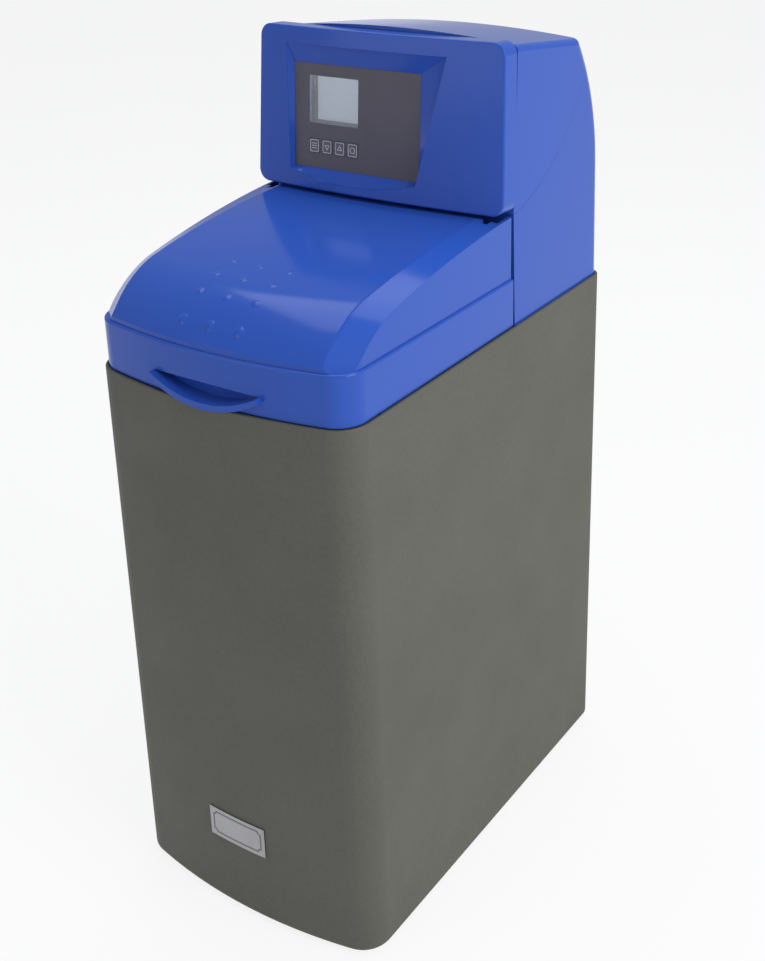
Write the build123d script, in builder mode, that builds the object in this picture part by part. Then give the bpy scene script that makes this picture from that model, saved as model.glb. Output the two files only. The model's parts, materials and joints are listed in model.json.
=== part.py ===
"""Compact cabinet water softener: salt tub, resin tank, control valve and lift-off covers.

The part stands on its feet. X runs to the right as seen from the front, Y runs from the
front to the rear and Z runs up. The origin lies on the floor, in the middle of the plan.
"""

import os
from math import asin, atan2, cos, degrees, pi, radians, sin, sqrt, tan

from build123d import *

os.makedirs("parts", exist_ok=True)

# Cabinet
CABINET_W = 255.0
CABINET_D = 420.0
RIM_Z = 496.0
CABINET_WALL = 3.5
CABINET_FLARE = 2.5
BOW_SAG = 17.0
FRONT_CORNER_R = 28.0
REAR_CORNER_R = 14.0
BASE_ROUND_R = 5.0
RIM_ROUND_R = 1.2
LIP_T = 2.2
REBATE_DEPTH = 2.8
FLANGE_W = 9.0
FLANGE_T = 4.0
LOCATOR_H = 9.0
LOCATOR_T = 3.0
FOOT_H = 4.0
FOOT_R = 12.0
FOOT_INSET = 34.0
REAR_REACH = 18.0

# Clearances shared by all pieces, and the overrun of every cut
OVERRUN = 5.0
FIT = 0.3
RUNNING_FIT = 0.08
SEAM = 0.8

# Name plate
PLATE_W = 60.0
PLATE_H = 30.0
PLATE_T = 1.0
PLATE_Z = 90.0

# Salt lid
LID_INSET = 3.1
LID_WALL = 3.0
LID_D = 256.0
LID_LIFT = 0.4
LEDGE_Z = 538.0
LEDGE_W = 2.4
LEDGE_ROUND_R = 2.0
DOME_KNEE_D = 60.0
DOME_KNEE_H = 40.0
DOME_H = 54.0
DOME_KNEE_ANGLE = 10.5
CREASE_INSET = 24.5
CREASE_D = 13.0
CREASE_KNEE_D = 75.0
CREASE_KNEE_H = 39.0
CREASE_H = 55.0
CREASE_KNEE_ANGLE = 10.0
BROW_D = 37.0
BROW_KNEE_D = 92.0
BROW_KNEE_H = 31.0
BROW_H = 53.0
BROW_KNEE_ANGLE = 12.0
LID_PANEL_D = 238.0

# Finger scoop in the front of the lid
SCOOP_W = 104.0
SCOOP_H = 13.0
SCOOP_D = 11.0
SCOOP_WALL = 2.4
SCOOP_LIP = 3.0
SCOOP_LIP_T = 3.2

# Grip pips on the lid, four rows that shrink to the rear
PIP_COLUMNS = 3
PIP_PITCH_X = 27.6
PIP_FIRST_D = 16.0
PIP_PITCH_D = 21.2
PIP_RADII = [4.4, 3.8, 3.2, 2.6]
PIP_RISE_SHARE = 0.2

# Lid hinge
HINGE_D = 233.0
HINGE_Z = 586.0
HINGE_PIN_R = 1.5
HINGE_EYE_R = 4.4
HINGE_ARM_R = 2.4
HINGE_ARM_H = 12.0
HINGE_ARM_SLOPE = 40.0
HINGE_LUG_INSET = 29.5
HINGE_LUG_W = 8.0
HINGE_LUG_L = 18.0
HINGE_ARM_W = 7.0
BUMPER_R = 2.2
BUMPER_DS = [60.0, 180.0]

# Form that the rear shroud and the valve hood share
HEAD_LEAN_SHARE = 0.0194
REAR_BEND_Z = 600.0
REAR_BEND_R = 205.0
REAR_BEND_ANGLE = 50.0
HEAD_ROUND_R = 6.0

# Rear shroud
SHROUD_WALL = 3.0
SHROUD_GAP = 3.0
BULKHEAD_T = 3.0
BULKHEAD_TOP = 588.0
PART_LINE_FRONT_D = 264.0
PART_LINE_FRONT_Z = 593.0
PART_LINE_MID_D = 341.0
PART_LINE_MID_Z = 631.0
PART_LINE_REAR_D = 389.0
PART_LINE_REAR_Z = 688.0
SERVICE_INSET = 52.5
SERVICE_TOP = 590.0
SERVICE_R = 12.0

# Valve hood
HOOD_TOP_Z = 738.0
HOOD_TOP_SLOPE = 7.0
HOOD_WALL = 2.8
HOOD_SIDE_DROP = 8.0
HOOD_GROOVE = 3.5
HOOD_FRAME = 12.0
HOOD_SHELF = 6.0
POWER_INSET = 35.5
POWER_Z = 560.0
POWER_R = 6.0
POWER_BORE_R = 2.8
POWER_FLANGE = 2.0
POWER_L = 12.0

# Fascia
FASCIA_INSET = 2.0
FASCIA_TOP_INSET = 6.5
FASCIA_BOTTOM = 596.5
FASCIA_TOP = 735.0
FASCIA_D = 229.5
FASCIA_LEAN = 4.2
FASCIA_SAG = 7.0
FASCIA_WALL = 3.0
FASCIA_TOP_R = 11.0
FASCIA_BOTTOM_R = 3.0
FASCIA_EDGE_R = 1.6
FASCIA_FLANK = 19.0
FASCIA_BOSS_R = 2.4
FASCIA_BOSS_ZS = [26.0, 104.0]

# Display recess, foil, screen and keys, measured from the middle of the fascia's bottom edge
RECESS_LEFT = -91.0
RECESS_LEFT_LOW = -87.5
RECESS_RIGHT = 71.0
RECESS_RIGHT_LOW = 44.5
RECESS_TOP = 124.5
RECESS_BOTTOM = 16.5
RECESS_SHELF = 10.0
RECESS_RIM_DEPTH = 4.0
RECESS_DEPTH = 9.0
RECESS_FLOOR_T = 2.4
FOIL_LEFT = -86.0
FOIL_W = 129.0
FOIL_H = 90.0
FOIL_BOTTOM = 18.0
FOIL_T = 1.6
SCREEN_LEFT = -70.0
SCREEN_W = 51.0
SCREEN_H = 41.0
SCREEN_BOTTOM = 57.0
SCREEN_T = 7.0
PANE_T = 1.0
SCREEN_SET_BACK = 7.0
SCREEN_FRAME = 1.5
KEY_COUNT = 4
KEY_W = 10.8
KEY_H = 12.5
KEY_PITCH = 13.4
KEY_BOTTOM = 31.0
KEY_TRAVEL = 0.8
KEY_PROUD = 0.5
KEY_LIP = 1.0
KEY_STEM = 6.0
BOARD_W = 118.0
BOARD_H = 82.0
BOARD_T = 1.6
POST_R = 3.4
POST_INSET = 5.0
SWITCH_R = 2.6
SCREW_R = 1.4
SCREW_HEAD_R = 2.8
SCREW_HEAD_H = 2.0

# Resin tank
TANK_D = 307.0
TANK_R = 103.0
TANK_BASE_Z = 22.0
TANK_BOWL_H = 46.0
TANK_SHOULDER_Z = 404.0
TANK_SHOULDER_H = 46.0
TANK_NECK_Z = 484.0
TANK_NECK_R = 31.5
TANK_BORE_R = 26.0
TANK_WALL = 4.0
BOOT_H = 62.0
BOOT_WALL = 3.0
BOOT_SEAT_R = 60.0
BOOT_RIBS = 12
RISER_R = 13.4
RISER_BORE_R = 11.0
RISER_LOW_Z = 36.0
RISER_TOP_Z = 494.0
BASKET_R = 20.0
BASKET_WALL = 2.0
BASKET_SLOTS = 8
LOWER_BASKET_H = 26.0
UPPER_BASKET_R = 21.0
UPPER_BASKET_Z = 448.0

# Control valve, with its piston along Y
VALVE_AXIS_Z = 545.0
VALVE_R = 27.0
VALVE_FRONT = -27.5
VALVE_BORE_R = 14.0
VALVE_NECK_R = 42.0
VALVE_NECK_LOW = 466.0
VALVE_NECK_TOP = 512.0
VALVE_COLUMN_R = 24.0
NECK_ROUND_R = 4.0
NECK_SEAT_Z = 484.3
NECK_RIBS = 6
NECK_RIB_T = 4.0
NECK_RIB_H = 2.5
PISTON_STROKE = 12.0
PISTON_ROD_R = 4.0
ROD_FRONT_D = 264.5
PISTON_GAP = 1.0
PISTON_LANDS = 4
PISTON_LAND_L = 6.0
PISTON_GROOVE_L = 3.3
PISTON_CORE_R = 10.0
GLAND_L = 6.0
PORT_X = 27.0
PORT_Z = 530.0
PORT_R = 15.0
PORT_BORE_R = 10.0
PORT_BORE_D = 22.0
PORT_REAR = 38.0
PLUG_T = 6.0
SOCKET_L = 10.0

# Bypass behind the valve, and its outlets
BYPASS_L = 36.0
BYPASS_R = 19.0
BYPASS_CROSS_R = 13.0
BYPASS_WALL = 3.5
BYPASS_GAP = 3.0
COUPLER_BORE_R = 7.0
COUPLER_DEPTH = 4.0
CLIP_L = 5.0
CLIP_T = 2.6
CLIP_OPEN = 18.0
STUB_L = 8.0
ROTOR_R = 13.0
ROTOR_DEPTH = 15.0
ROTOR_BOSS_H = 22.0
ROTOR_HOLE_R = 9.0
KNOB_R = 15.0
KNOB_H = 9.0
LEVER_L = 19.0
LEVER_W = 9.0
NUT_R = 22.0
NUT_L = 14.0
NUT_WALL = 3.0
FLUTES = 9
FLUTE_R = 1.8
TAIL_R = 13.2
TAIL_BORE_R = 10.0
TAIL_NECK_R = 12.8

# Drive train
GEAR_MODULE = 1.0
MAIN_TEETH = 48
IDLER_TEETH = 36
PINION_TEETH = 12
GEAR_T = 4.0
GEAR_GAP = 1.0
PLATE_DRIVE_T = 3.0
IDLER_ANGLE = 52.0
MOTOR_ANGLE = 8.0
MOTOR_R = 14.0
MOTOR_L = 34.0
SHAFT_R = 1.5
MESH_BACKLASH = 0.35
GEAR_ADDENDUM = 0.85
GEAR_DEDENDUM = 1.2
TOOTH_TIP_SHARE = 0.5
TOOTH_ROOT_SHARE = 1.25
GEAR_RIM = 4.0
GEAR_WEB = 1.2
GEAR_HOLES = 5
GEAR_HOLE_R = 3.6
GEAR_HOLE_PITCH_R = 14.5
MAIN_HUB_R = 9.0
MAIN_JOURNAL_R = 6.5
PLATE_EDGE = 4.0
PLATE_CORNER_R = 5.0
MOTOR_ROUND_R = 2.0

# Flow meter, injector, drain and brine fittings
METER_D = 311.0
METER_R = 15.0
METER_FACE_X = 50.0
METER_POCKET_R = 11.0
METER_POCKET_D = 11.0
TURBINE_R = 10.2
TURBINE_BLADES = 6
TURBINE_W = 8.0
TURBINE_HUB_R = 3.4
VANE_T = 1.2
METER_COVER_T = 4.0
INJECTOR_D = 297.0
INJECTOR_R = 13.0
INJECTOR_BOSS_R = 10.0
INJECTOR_TOP_Z = 583.0
INJECTOR_BORE_R = 6.0
INJECTOR_BORE_L = 14.0
DRAIN_X = -24.0
DRAIN_D = 327.0
DRAIN_Z = 580.0
DRAIN_BOSS_R = 10.0
DRAIN_BOSS_TOP = 569.0
BRINE_Z = 535.0
BRINE_BOSS_X = -46.0
BRINE_BOSS_R = 8.5
TUBE_X = -60.0
TUBE_D = 300.0
TUBE_HOLE_R = 8.0
INJECTOR_CAP_Z = 573.0
DRAIN_BEND_R = 9.5
FLANGE_RING_T = 2.0
BARBS = 3
BARB_PITCH = 5.0
BARB_SHARE = 0.8
ELBOW_R = 8.5
ELBOW_DROP = 26.0
ELBOW_NUT_H = 14.0
ELBOW_BEND_R = 8.0
ELBOW_BORE_R = 4.8
BARB_R = 7.0
TUBE_R = 4.8
TUBE_BORE_R = 3.2
TUBE_BEND_Z = 472.0
TUBE_BEND_R = 12.0
TUBE_SWAY_SHARE = 0.12
TUBE_MID_D = 234.0
TUBE_MID_RISE = 46.0
TUBE_LOW_D = 208.0
NIPPLE_L = 12.0

# Brine well and float
WELL_X = -74.0
WELL_D = 136.0
WELL_R = 37.0
WELL_WALL = 2.5
WELL_TOP = 462.0
WELL_SLOTS = 8
WELL_SLOT_Z = 6.0
WELL_SLOT_W = 5.0
WELL_SLOT_H = 42.0
CAP_H = 8.0
CAP_T = 2.5
CAP_GRIP_R = 9.0
CAP_GRIP_H = 6.0
FLOAT_R = 20.0
FLOAT_H = 62.0
FLOAT_Z = 210.0
FLOAT_TRAVEL = 12.0
FLOAT_ROUND_R = 4.0
FLOAT_STOP_H = 5.0
ROD_R = 2.4
ROD_FIT = 0.4
ROD_SOCKET = 22.0
GUIDE_T = 3.0
GUIDE_HOLES = 4
GUIDE_HOLE_R = 9.0
GUIDE_HOLE_PITCH_R = 19.0
BRINE_VALVE_Z = 392.0
BRINE_VALVE_R = 13.0
BRINE_VALVE_H = 34.0
NIPPLE_R = 7.0
PICKUP_OFFSET = 27.0
PICKUP_R = 3.2
AIR_CHECK_R = 6.4
AIR_CHECK_TOP = 58.0
AIR_CHECK_SLOT_H = 30.0

# Salt platform, deck and overflow
PLATFORM_Z = 74.0
PLATFORM_T = 3.0
PLATFORM_LEG_R = 8.0
PLATFORM_SLOT_W = 5.0
PLATFORM_SLOT_PITCH = 11.0
PLATFORM_SLOT_L = 34.0
PLATFORM_SLOT_D = 104.0
PLATFORM_SLOT_COLUMNS = 12
PLATFORM_SLOT_ROWS = 3
PLATFORM_LEFT = -35.0
PLATFORM_REAR_D = 192.0
PLATFORM_GAP = 3.0
PLATFORM_LEG_XS = [-20.0, 100.0]
PLATFORM_LEG_DS = [40.0, 178.0]
DECK_T = 3.0
DECK_FRONT_D = 205.0
DECK_LIP_H = 12.0
OVERFLOW_Z = 444.0
OVERFLOW_X = 84.0
OVERFLOW_R = 9.0
SPIGOT_R = 8.5
OVERFLOW_BORE_R = 6.5
OVERFLOW_REACH = 22.0
OVERFLOW_DROP = 26.0
OVERFLOW_BEND_R = 11.0
OVERFLOW_RING = 4.5
OVERFLOW_NUT_L = 7.0

FRONT = -(CABINET_D + REAR_REACH) / 2
REAR = FRONT + CABINET_D
HALF_W = CABINET_W / 2
CREASE_X = HALF_W - CREASE_INSET
HINGE_LUG_X = HALF_W - HINGE_LUG_INSET
SERVICE_W = CABINET_W - 2 * SERVICE_INSET
POWER_X = HALF_W - POWER_INSET
FASCIA_HALF_W = HALF_W - FASCIA_INSET
FASCIA_TOP_HALF_W = HALF_W - FASCIA_TOP_INSET
HOOD_FRONT_D = FASCIA_D + FASCIA_SAG + FASCIA_FLANK + HOOD_GROOVE
LEAN = radians(FASCIA_LEAN)
BOW_R = (HALF_W**2 + BOW_SAG**2) / (2 * BOW_SAG)
BOW_Y = FRONT + BOW_R
FLOOR_Z = FOOT_H + CABINET_WALL
FLANGE_Z = RIM_Z - REBATE_DEPTH


def bowed_outline(z, inset=0.0, flare=0.0, rear=None):
    """Plan outline with a bowed front, drawn at height z and set in by inset."""
    half = HALF_W - inset + flare
    bow_r = BOW_R - inset
    side_y = BOW_Y - sqrt(bow_r**2 - half**2)
    rear_y = REAR - inset if rear is None else rear
    with BuildSketch(Plane.XY.offset(z), mode=Mode.PRIVATE) as outline:
        with BuildLine():
            ThreePointArc((-half, side_y), (0, BOW_Y - bow_r), (half, side_y))
            Polyline((half, side_y), (half, rear_y), (-half, rear_y), (-half, side_y))
        make_face()
        fillet(outline.vertices().group_by(Axis.Y)[0], FRONT_CORNER_R - inset)
        if rear is None:
            fillet(outline.vertices().group_by(Axis.Y)[-1], REAR_CORNER_R - inset / 2)
    return outline.sketch


def slab(x0, x1, y0, y1, z0, z1):
    """Rectangular block between two corners, joined to nothing."""
    with BuildSketch(Plane.XY.offset(z0), mode=Mode.PRIVATE) as base:
        with Locations(((x0 + x1) / 2, (y0 + y1) / 2)):
            Rectangle(x1 - x0, y1 - y0)
    return extrude(base.sketch, amount=z1 - z0, mode=Mode.PRIVATE)


def cylinder_y(x, z, radius, y0, y1):
    """Round bar along Y, joined to nothing."""
    plane = Plane((x, y0, z), x_dir=(1, 0, 0), z_dir=(0, 1, 0))
    with BuildSketch(plane, mode=Mode.PRIVATE) as section:
        Circle(radius)
    return extrude(section.sketch, amount=y1 - y0, mode=Mode.PRIVATE)


def cylinder_z(x, y, radius, z0, z1):
    """Round bar along Z, joined to nothing."""
    with BuildSketch(Plane.XY.offset(z0), mode=Mode.PRIVATE) as section:
        with Locations((x, y)):
            Circle(radius)
    return extrude(section.sketch, amount=z1 - z0, mode=Mode.PRIVATE)


def cylinder_x(y, z, radius, x0, x1):
    """Round bar along X, joined to nothing."""
    plane = Plane((x0, y, z), x_dir=(0, 1, 0), z_dir=(1, 0, 0))
    with BuildSketch(plane, mode=Mode.PRIVATE) as section:
        Circle(radius)
    return extrude(section.sketch, amount=x1 - x0, mode=Mode.PRIVATE)


def save(builder, label):
    """Label a finished piece and write its file."""
    builder.part.label = label
    export_step(builder.part, f"parts/{label}.step")


# Cabinet: open tub with a rebated rim, a stiffening flange and rings that locate the pieces inside
with BuildPart() as cabinet:
    loft([bowed_outline(FOOT_H, flare=CABINET_FLARE), bowed_outline(RIM_Z)], ruled=True)
    fillet(cabinet.edges().group_by(Axis.Z)[0], BASE_ROUND_R)
    fillet(cabinet.edges().group_by(Axis.Z)[-1], RIM_ROUND_R)
    loft(
        [
            bowed_outline(FLOOR_Z, inset=CABINET_WALL, flare=CABINET_FLARE),
            bowed_outline(FLANGE_Z - FLANGE_T - FLANGE_W, inset=CABINET_WALL),
        ],
        ruled=True,
        mode=Mode.SUBTRACT,
    )
    loft(
        [
            bowed_outline(FLANGE_Z - FLANGE_T - FLANGE_W, inset=CABINET_WALL),
            bowed_outline(FLANGE_Z - FLANGE_T, inset=CABINET_WALL + FLANGE_W),
        ],
        ruled=True,
        mode=Mode.SUBTRACT,
    )
    extrude(
        bowed_outline(FLANGE_Z - FLANGE_T, inset=CABINET_WALL + FLANGE_W),
        amount=FLANGE_T + OVERRUN,
        mode=Mode.SUBTRACT,
    )
    extrude(bowed_outline(FLANGE_Z, inset=LIP_T), amount=REBATE_DEPTH + OVERRUN, mode=Mode.SUBTRACT)
    with BuildSketch(Plane.XY.offset(FLOOR_Z)):
        with Locations((0, FRONT + TANK_D)):
            Circle(TANK_R + BOOT_WALL + FIT + LOCATOR_T)
            Circle(TANK_R + BOOT_WALL + FIT, mode=Mode.SUBTRACT)
        with Locations((WELL_X, FRONT + WELL_D)):
            Circle(WELL_R + FIT + LOCATOR_T)
            Circle(WELL_R + FIT, mode=Mode.SUBTRACT)
    extrude(amount=LOCATOR_H)
    add(cylinder_y(OVERFLOW_X, OVERFLOW_Z, OVERFLOW_R + FIT, REAR - CABINET_WALL - OVERRUN, REAR + OVERRUN),
        mode=Mode.SUBTRACT)
save(cabinet, "cabinet")

# Feet: four rubber pads under the corners
foot_x = HALF_W - FOOT_INSET
foot_ys = (FRONT + FOOT_INSET + BOW_SAG, REAR - FOOT_INSET)
with BuildPart() as feet:
    with BuildSketch():
        with Locations(*[(x, y) for x in (-foot_x, foot_x) for y in foot_ys]):
            Circle(FOOT_R)
    extrude(amount=FOOT_H)
    chamfer(feet.edges().group_by(Axis.Z)[0], FOOT_H / 4)
save(feet, "feet")

# Name plate: bare plate that follows the bow of the cabinet's front
with BuildPart() as name_plate:
    with BuildSketch(Plane.XY.offset(PLATE_Z - PLATE_H / 2)):
        with Locations((0, BOW_Y)):
            Circle(BOW_R + PLATE_T)
            Circle(BOW_R, mode=Mode.SUBTRACT)
        with Locations((0, FRONT)):
            Rectangle(PLATE_W, BOW_SAG, mode=Mode.INTERSECT)
    extrude(amount=PLATE_H)
save(name_plate, "name_plate")


def arch(x, knee, angle, start, end, floor_z):
    """Side profile at x: two arcs that meet smoothly at the knee, closed down to floor_z."""
    slope = radians(angle)
    plane = Plane((x, FRONT, 0), x_dir=(0, 1, 0), z_dir=(1, 0, 0))
    with BuildSketch(plane, mode=Mode.PRIVATE) as profile:
        with BuildLine():
            rear = TangentArc(knee, end, tangent=(cos(slope), sin(slope)))
            front = TangentArc(knee, start, tangent=(-cos(slope), -sin(slope)))
            Polyline(rear @ 1, (end[0], floor_z), (start[0], floor_z), front @ 1)
        make_face()
    return profile.sketch


def arc_centre(knee, angle, end):
    """Centre and radius of the arc that leaves the knee at an angle and passes through end."""
    slope = radians(angle)
    run, rise = end[0] - knee[0], end[1] - knee[1]
    lean = -sin(slope) * run + cos(slope) * rise
    radius = (run**2 + rise**2) / (2 * lean)
    return (knee[0] - sin(slope) * radius, knee[1] + cos(slope) * radius), abs(radius)


def dome(drop, floor_z):
    """Solid under the lid's crowned top, turned about the centre of the bow, inside it by drop."""
    start = (LID_INSET + drop, LEDGE_Z - drop)
    knee = (DOME_KNEE_D, LEDGE_Z + DOME_KNEE_H - drop)
    end = (LID_D + OVERRUN, LEDGE_Z + DOME_H - drop)
    profile = arch(0, knee, DOME_KNEE_ANGLE, start, end, floor_z)
    return revolve(profile, axis=Axis((0, BOW_Y, 0), (0, 0, 1)), mode=Mode.PRIVATE)


def band_profile(x, angle, start, knee, end_h, drop, floor_z):
    """Side profile of the chamfer band in the plane at x, lowered by drop."""
    return arch(
        x,
        (knee[0], LEDGE_Z + knee[1] - drop),
        angle,
        (start + drop, LEDGE_Z - drop),
        (LID_D + OVERRUN, LEDGE_Z + end_h - drop),
        floor_z,
    )


def lid_crown(drop, floor_z):
    """Upper form of the lid from floor_z up, inside the outer form by drop."""
    inset = LID_INSET + LEDGE_W + drop
    crease_knee = (CREASE_KNEE_D, CREASE_KNEE_H)
    brow_knee = (BROW_KNEE_D, BROW_KNEE_H)
    inner = band_profile(CREASE_X, CREASE_KNEE_ANGLE, CREASE_D, crease_knee, CREASE_H, drop, floor_z)
    outer = band_profile(HALF_W, BROW_KNEE_ANGLE, BROW_D, brow_knee, BROW_H, drop, floor_z)
    with BuildPart(mode=Mode.PRIVATE) as form:
        add(slab(-CREASE_X, CREASE_X, FRONT, FRONT + LID_D + OVERRUN, floor_z, RIM_Z + CABINET_W))
        loft([inner, outer], ruled=True)
        mirror(about=Plane.YZ)
        add(dome(drop, floor_z), mode=Mode.INTERSECT)
        prism = bowed_outline(floor_z, inset=inset, rear=FRONT + LID_D + OVERRUN)
        extrude(prism, amount=CABINET_W, mode=Mode.INTERSECT)
    return form.part


def scoop_crescent(grow, y):
    """Crescent of the finger scoop in the upright plane at y, larger all round by grow."""
    half = SCOOP_W / 2 + grow
    top = SKIRT_Z + SCOOP_WALL + SCOOP_H
    low = top - SCOOP_H
    plane = Plane((0, y, 0), x_dir=(1, 0, 0), z_dir=(0, -1, 0))
    with BuildSketch(plane, mode=Mode.PRIVATE) as crescent:
        with BuildLine():
            ThreePointArc((-half, top - grow), (0, low - grow), (half, top - grow))
            ThreePointArc((half, top - grow), (0, top + SCOOP_LIP / 2 + grow), (-half, top - grow))
        make_face()
    return crescent.sketch


SKIRT_Z = RIM_Z + LID_LIFT
DECK_TOP = FLANGE_Z + DECK_T
lid_rear = FRONT + LID_D
hinge_y = FRONT + HINGE_D
arm_x = HINGE_LUG_X + HINGE_LUG_W + FIT
scoop_front = FRONT + LID_INSET
lip_reach = SCOOP_LIP_T - FIT


def lip_view():
    """Front view of the scoop's lower lip, a band that sags across the cabinet's rim."""
    half = SCOOP_W / 2 + SCOOP_LIP
    top = SKIRT_Z + SCOOP_WALL + SCOOP_H
    plane = Plane((0, FRONT + SCOOP_D, 0), x_dir=(1, 0, 0), z_dir=(0, -1, 0))
    with BuildSketch(plane, mode=Mode.PRIVATE) as view:
        with BuildLine():
            ThreePointArc((-half, top - SCOOP_LIP), (0, SKIRT_Z - SCOOP_LIP), (half, top - SCOOP_LIP))
            Line((half, top - SCOOP_LIP), (SCOOP_W / 2, top))
            ThreePointArc((SCOOP_W / 2, top), (0, top - SCOOP_H), (-SCOOP_W / 2, top))
            Line((-SCOOP_W / 2, top), (-half, top - SCOOP_LIP))
        make_face()
    return extrude(view.sketch, amount=SCOOP_D + BOW_SAG, mode=Mode.PRIVATE)


def scoop_lip(inner_inset, z0):
    """Part of the scoop's lip between the bow set in by inner_inset and its outer face, above z0."""
    with BuildPart(mode=Mode.PRIVATE) as lip:
        with BuildSketch(Plane.XY.offset(z0)):
            with Locations((0, BOW_Y)):
                Circle(BOW_R + lip_reach)
                Circle(BOW_R - inner_inset, mode=Mode.SUBTRACT)
        extrude(amount=CABINET_W)
        add(lip_view(), mode=Mode.INTERSECT)
    return lip.part


def pip_centre(distance, sink):
    """Point under the lid's crown, sink below its surface at a distance behind the front."""
    start = (LID_INSET, LEDGE_Z)
    knee = (DOME_KNEE_D, LEDGE_Z + DOME_KNEE_H)
    end = (LID_D + OVERRUN, LEDGE_Z + DOME_H)
    centre, radius = arc_centre(knee, DOME_KNEE_ANGLE, start if distance < DOME_KNEE_D else end)
    rise = sqrt(radius**2 - (distance - centre[0]) ** 2)
    share = (radius - sink) / radius
    return centre[0] + (distance - centre[0]) * share, centre[1] + rise * share


# Salt lid: moulded shell with a skirt, a ledge, a crowned top between two chamfer bands,
# a finger scoop in front and two hinge lugs behind
with BuildPart() as salt_lid:
    extrude(bowed_outline(SKIRT_Z, inset=LID_INSET, rear=lid_rear), amount=LEDGE_Z - SKIRT_Z)
    ledge_edges = salt_lid.edges().group_by(Axis.Z)[-1].sort_by(Axis.Y)[:-1]
    fillet(ledge_edges, LEDGE_ROUND_R)
    add(lid_crown(0, LEDGE_Z - LID_WALL / 2))
    add(
        slab(-CABINET_W, CABINET_W, lid_rear, lid_rear + CABINET_D, 0, CABINET_W + RIM_Z),
        mode=Mode.SUBTRACT,
    )
    extrude(
        bowed_outline(SKIRT_Z - OVERRUN, inset=LID_INSET + LID_WALL, rear=lid_rear + OVERRUN),
        amount=LEDGE_Z - LID_WALL - SKIRT_Z + OVERRUN,
        mode=Mode.SUBTRACT,
    )
    add(lid_crown(LID_WALL, SKIRT_Z - OVERRUN), mode=Mode.SUBTRACT)
    panel_x = HALF_W - LID_INSET - LEDGE_W - LID_WALL
    add(
        slab(-panel_x, panel_x, FRONT + LID_PANEL_D, lid_rear + OVERRUN, LEDGE_Z, LEDGE_Z + CABINET_W),
        mode=Mode.SUBTRACT,
    )
    extrude(
        scoop_crescent(SCOOP_WALL, scoop_front + SCOOP_D + SCOOP_WALL),
        amount=SCOOP_D + SCOOP_WALL - LID_WALL / 2,
    )
    extrude(scoop_crescent(0, scoop_front + SCOOP_D), amount=SCOOP_D + BOW_SAG, mode=Mode.SUBTRACT)
    for side in (-1, 1):
        x0, x1 = sorted((side * HINGE_LUG_X, side * (HINGE_LUG_X + HINGE_LUG_W)))
        a0, a1 = sorted((side * (arm_x - FIT), side * (arm_x + HINGE_ARM_W + FIT)))
        add(cylinder_x(hinge_y, HINGE_Z, HINGE_EYE_R, x0, x1))
        add(
            slab(
                x0,
                x1,
                hinge_y - HINGE_LUG_L,
                hinge_y,
                HINGE_Z - HINGE_EYE_R / 2,
                HINGE_Z + HINGE_EYE_R - SEAM,
            ),
        )
        add(cylinder_x(hinge_y, HINGE_Z, HINGE_PIN_R + RUNNING_FIT, x0, x1), mode=Mode.SUBTRACT)
        add(
            slab(a0, a1, hinge_y - HINGE_ARM_R - FIT, lid_rear, LEDGE_Z, LEDGE_Z + CABINET_W),
            mode=Mode.SUBTRACT,
        )
    add(scoop_lip(LID_INSET + LID_WALL / 2, SKIRT_Z))
    add(scoop_lip(-FIT, SKIRT_Z - 2 * SCOOP_LIP))
    with BuildPart():
        for row, radius in enumerate(PIP_RADII):
            distance = PIP_FIRST_D + row * PIP_PITCH_D
            ball_r = radius * (1 + PIP_RISE_SHARE**2) / (2 * PIP_RISE_SHARE)
            ball_d, ball_z = pip_centre(distance, ball_r - radius * PIP_RISE_SHARE)
            for column in range(PIP_COLUMNS):
                x = (column - (PIP_COLUMNS - 1) / 2) * PIP_PITCH_X
                turn = asin(x / (BOW_R - distance))
                ball_bow_r = BOW_R - ball_d
                with Locations((ball_bow_r * sin(turn), BOW_Y - ball_bow_r * cos(turn), ball_z)):
                    Sphere(ball_r)
        add(lid_crown(LID_WALL / 2, SKIRT_Z - OVERRUN), mode=Mode.SUBTRACT)
save(salt_lid, "salt_lid")


# Hinge pins: two steel pins that carry the lid on the shroud's arms
with BuildPart() as hinge_pins:
    for side in (-1, 1):
        x0, x1 = sorted((side * (HINGE_LUG_X - HINGE_PIN_R), side * (arm_x + HINGE_ARM_W)))
        add(cylinder_x(hinge_y, HINGE_Z, HINGE_PIN_R, x0, x1))
save(hinge_pins, "hinge_pins")

# Lid bumpers: four soft pads on the rim's flange, under the lid's skirt
with BuildPart() as lid_bumpers:
    bumper_x = HALF_W - LID_INSET - LID_WALL / 2
    with BuildSketch(Plane.XY.offset(FLANGE_Z)):
        with Locations(*[(x, FRONT + d) for x in (-bumper_x, bumper_x) for d in BUMPER_DS]):
            Circle(BUMPER_R)
    extrude(amount=SKIRT_Z - FIT - FLANGE_Z)
save(lid_bumpers, "lid_bumpers")


def head_plan(z, inset):
    """Plan of the shroud and hood at height z, set in by inset, with a bowed front."""
    half = HALF_W - LID_INSET - HEAD_LEAN_SHARE * (z - FLANGE_Z) - inset
    front = FRONT + HOOD_FRONT_D - FASCIA_SAG + (z - FASCIA_BOTTOM) * tan(LEAN) + inset
    with BuildSketch(Plane.XY.offset(z), mode=Mode.PRIVATE) as plan:
        with BuildLine():
            ThreePointArc((-half, front + FASCIA_SAG), (0, front), (half, front + FASCIA_SAG))
            Polyline((half, front + FASCIA_SAG), (half, REAR), (-half, REAR), (-half, front + FASCIA_SAG))
        make_face()
    return plan.sketch


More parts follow.
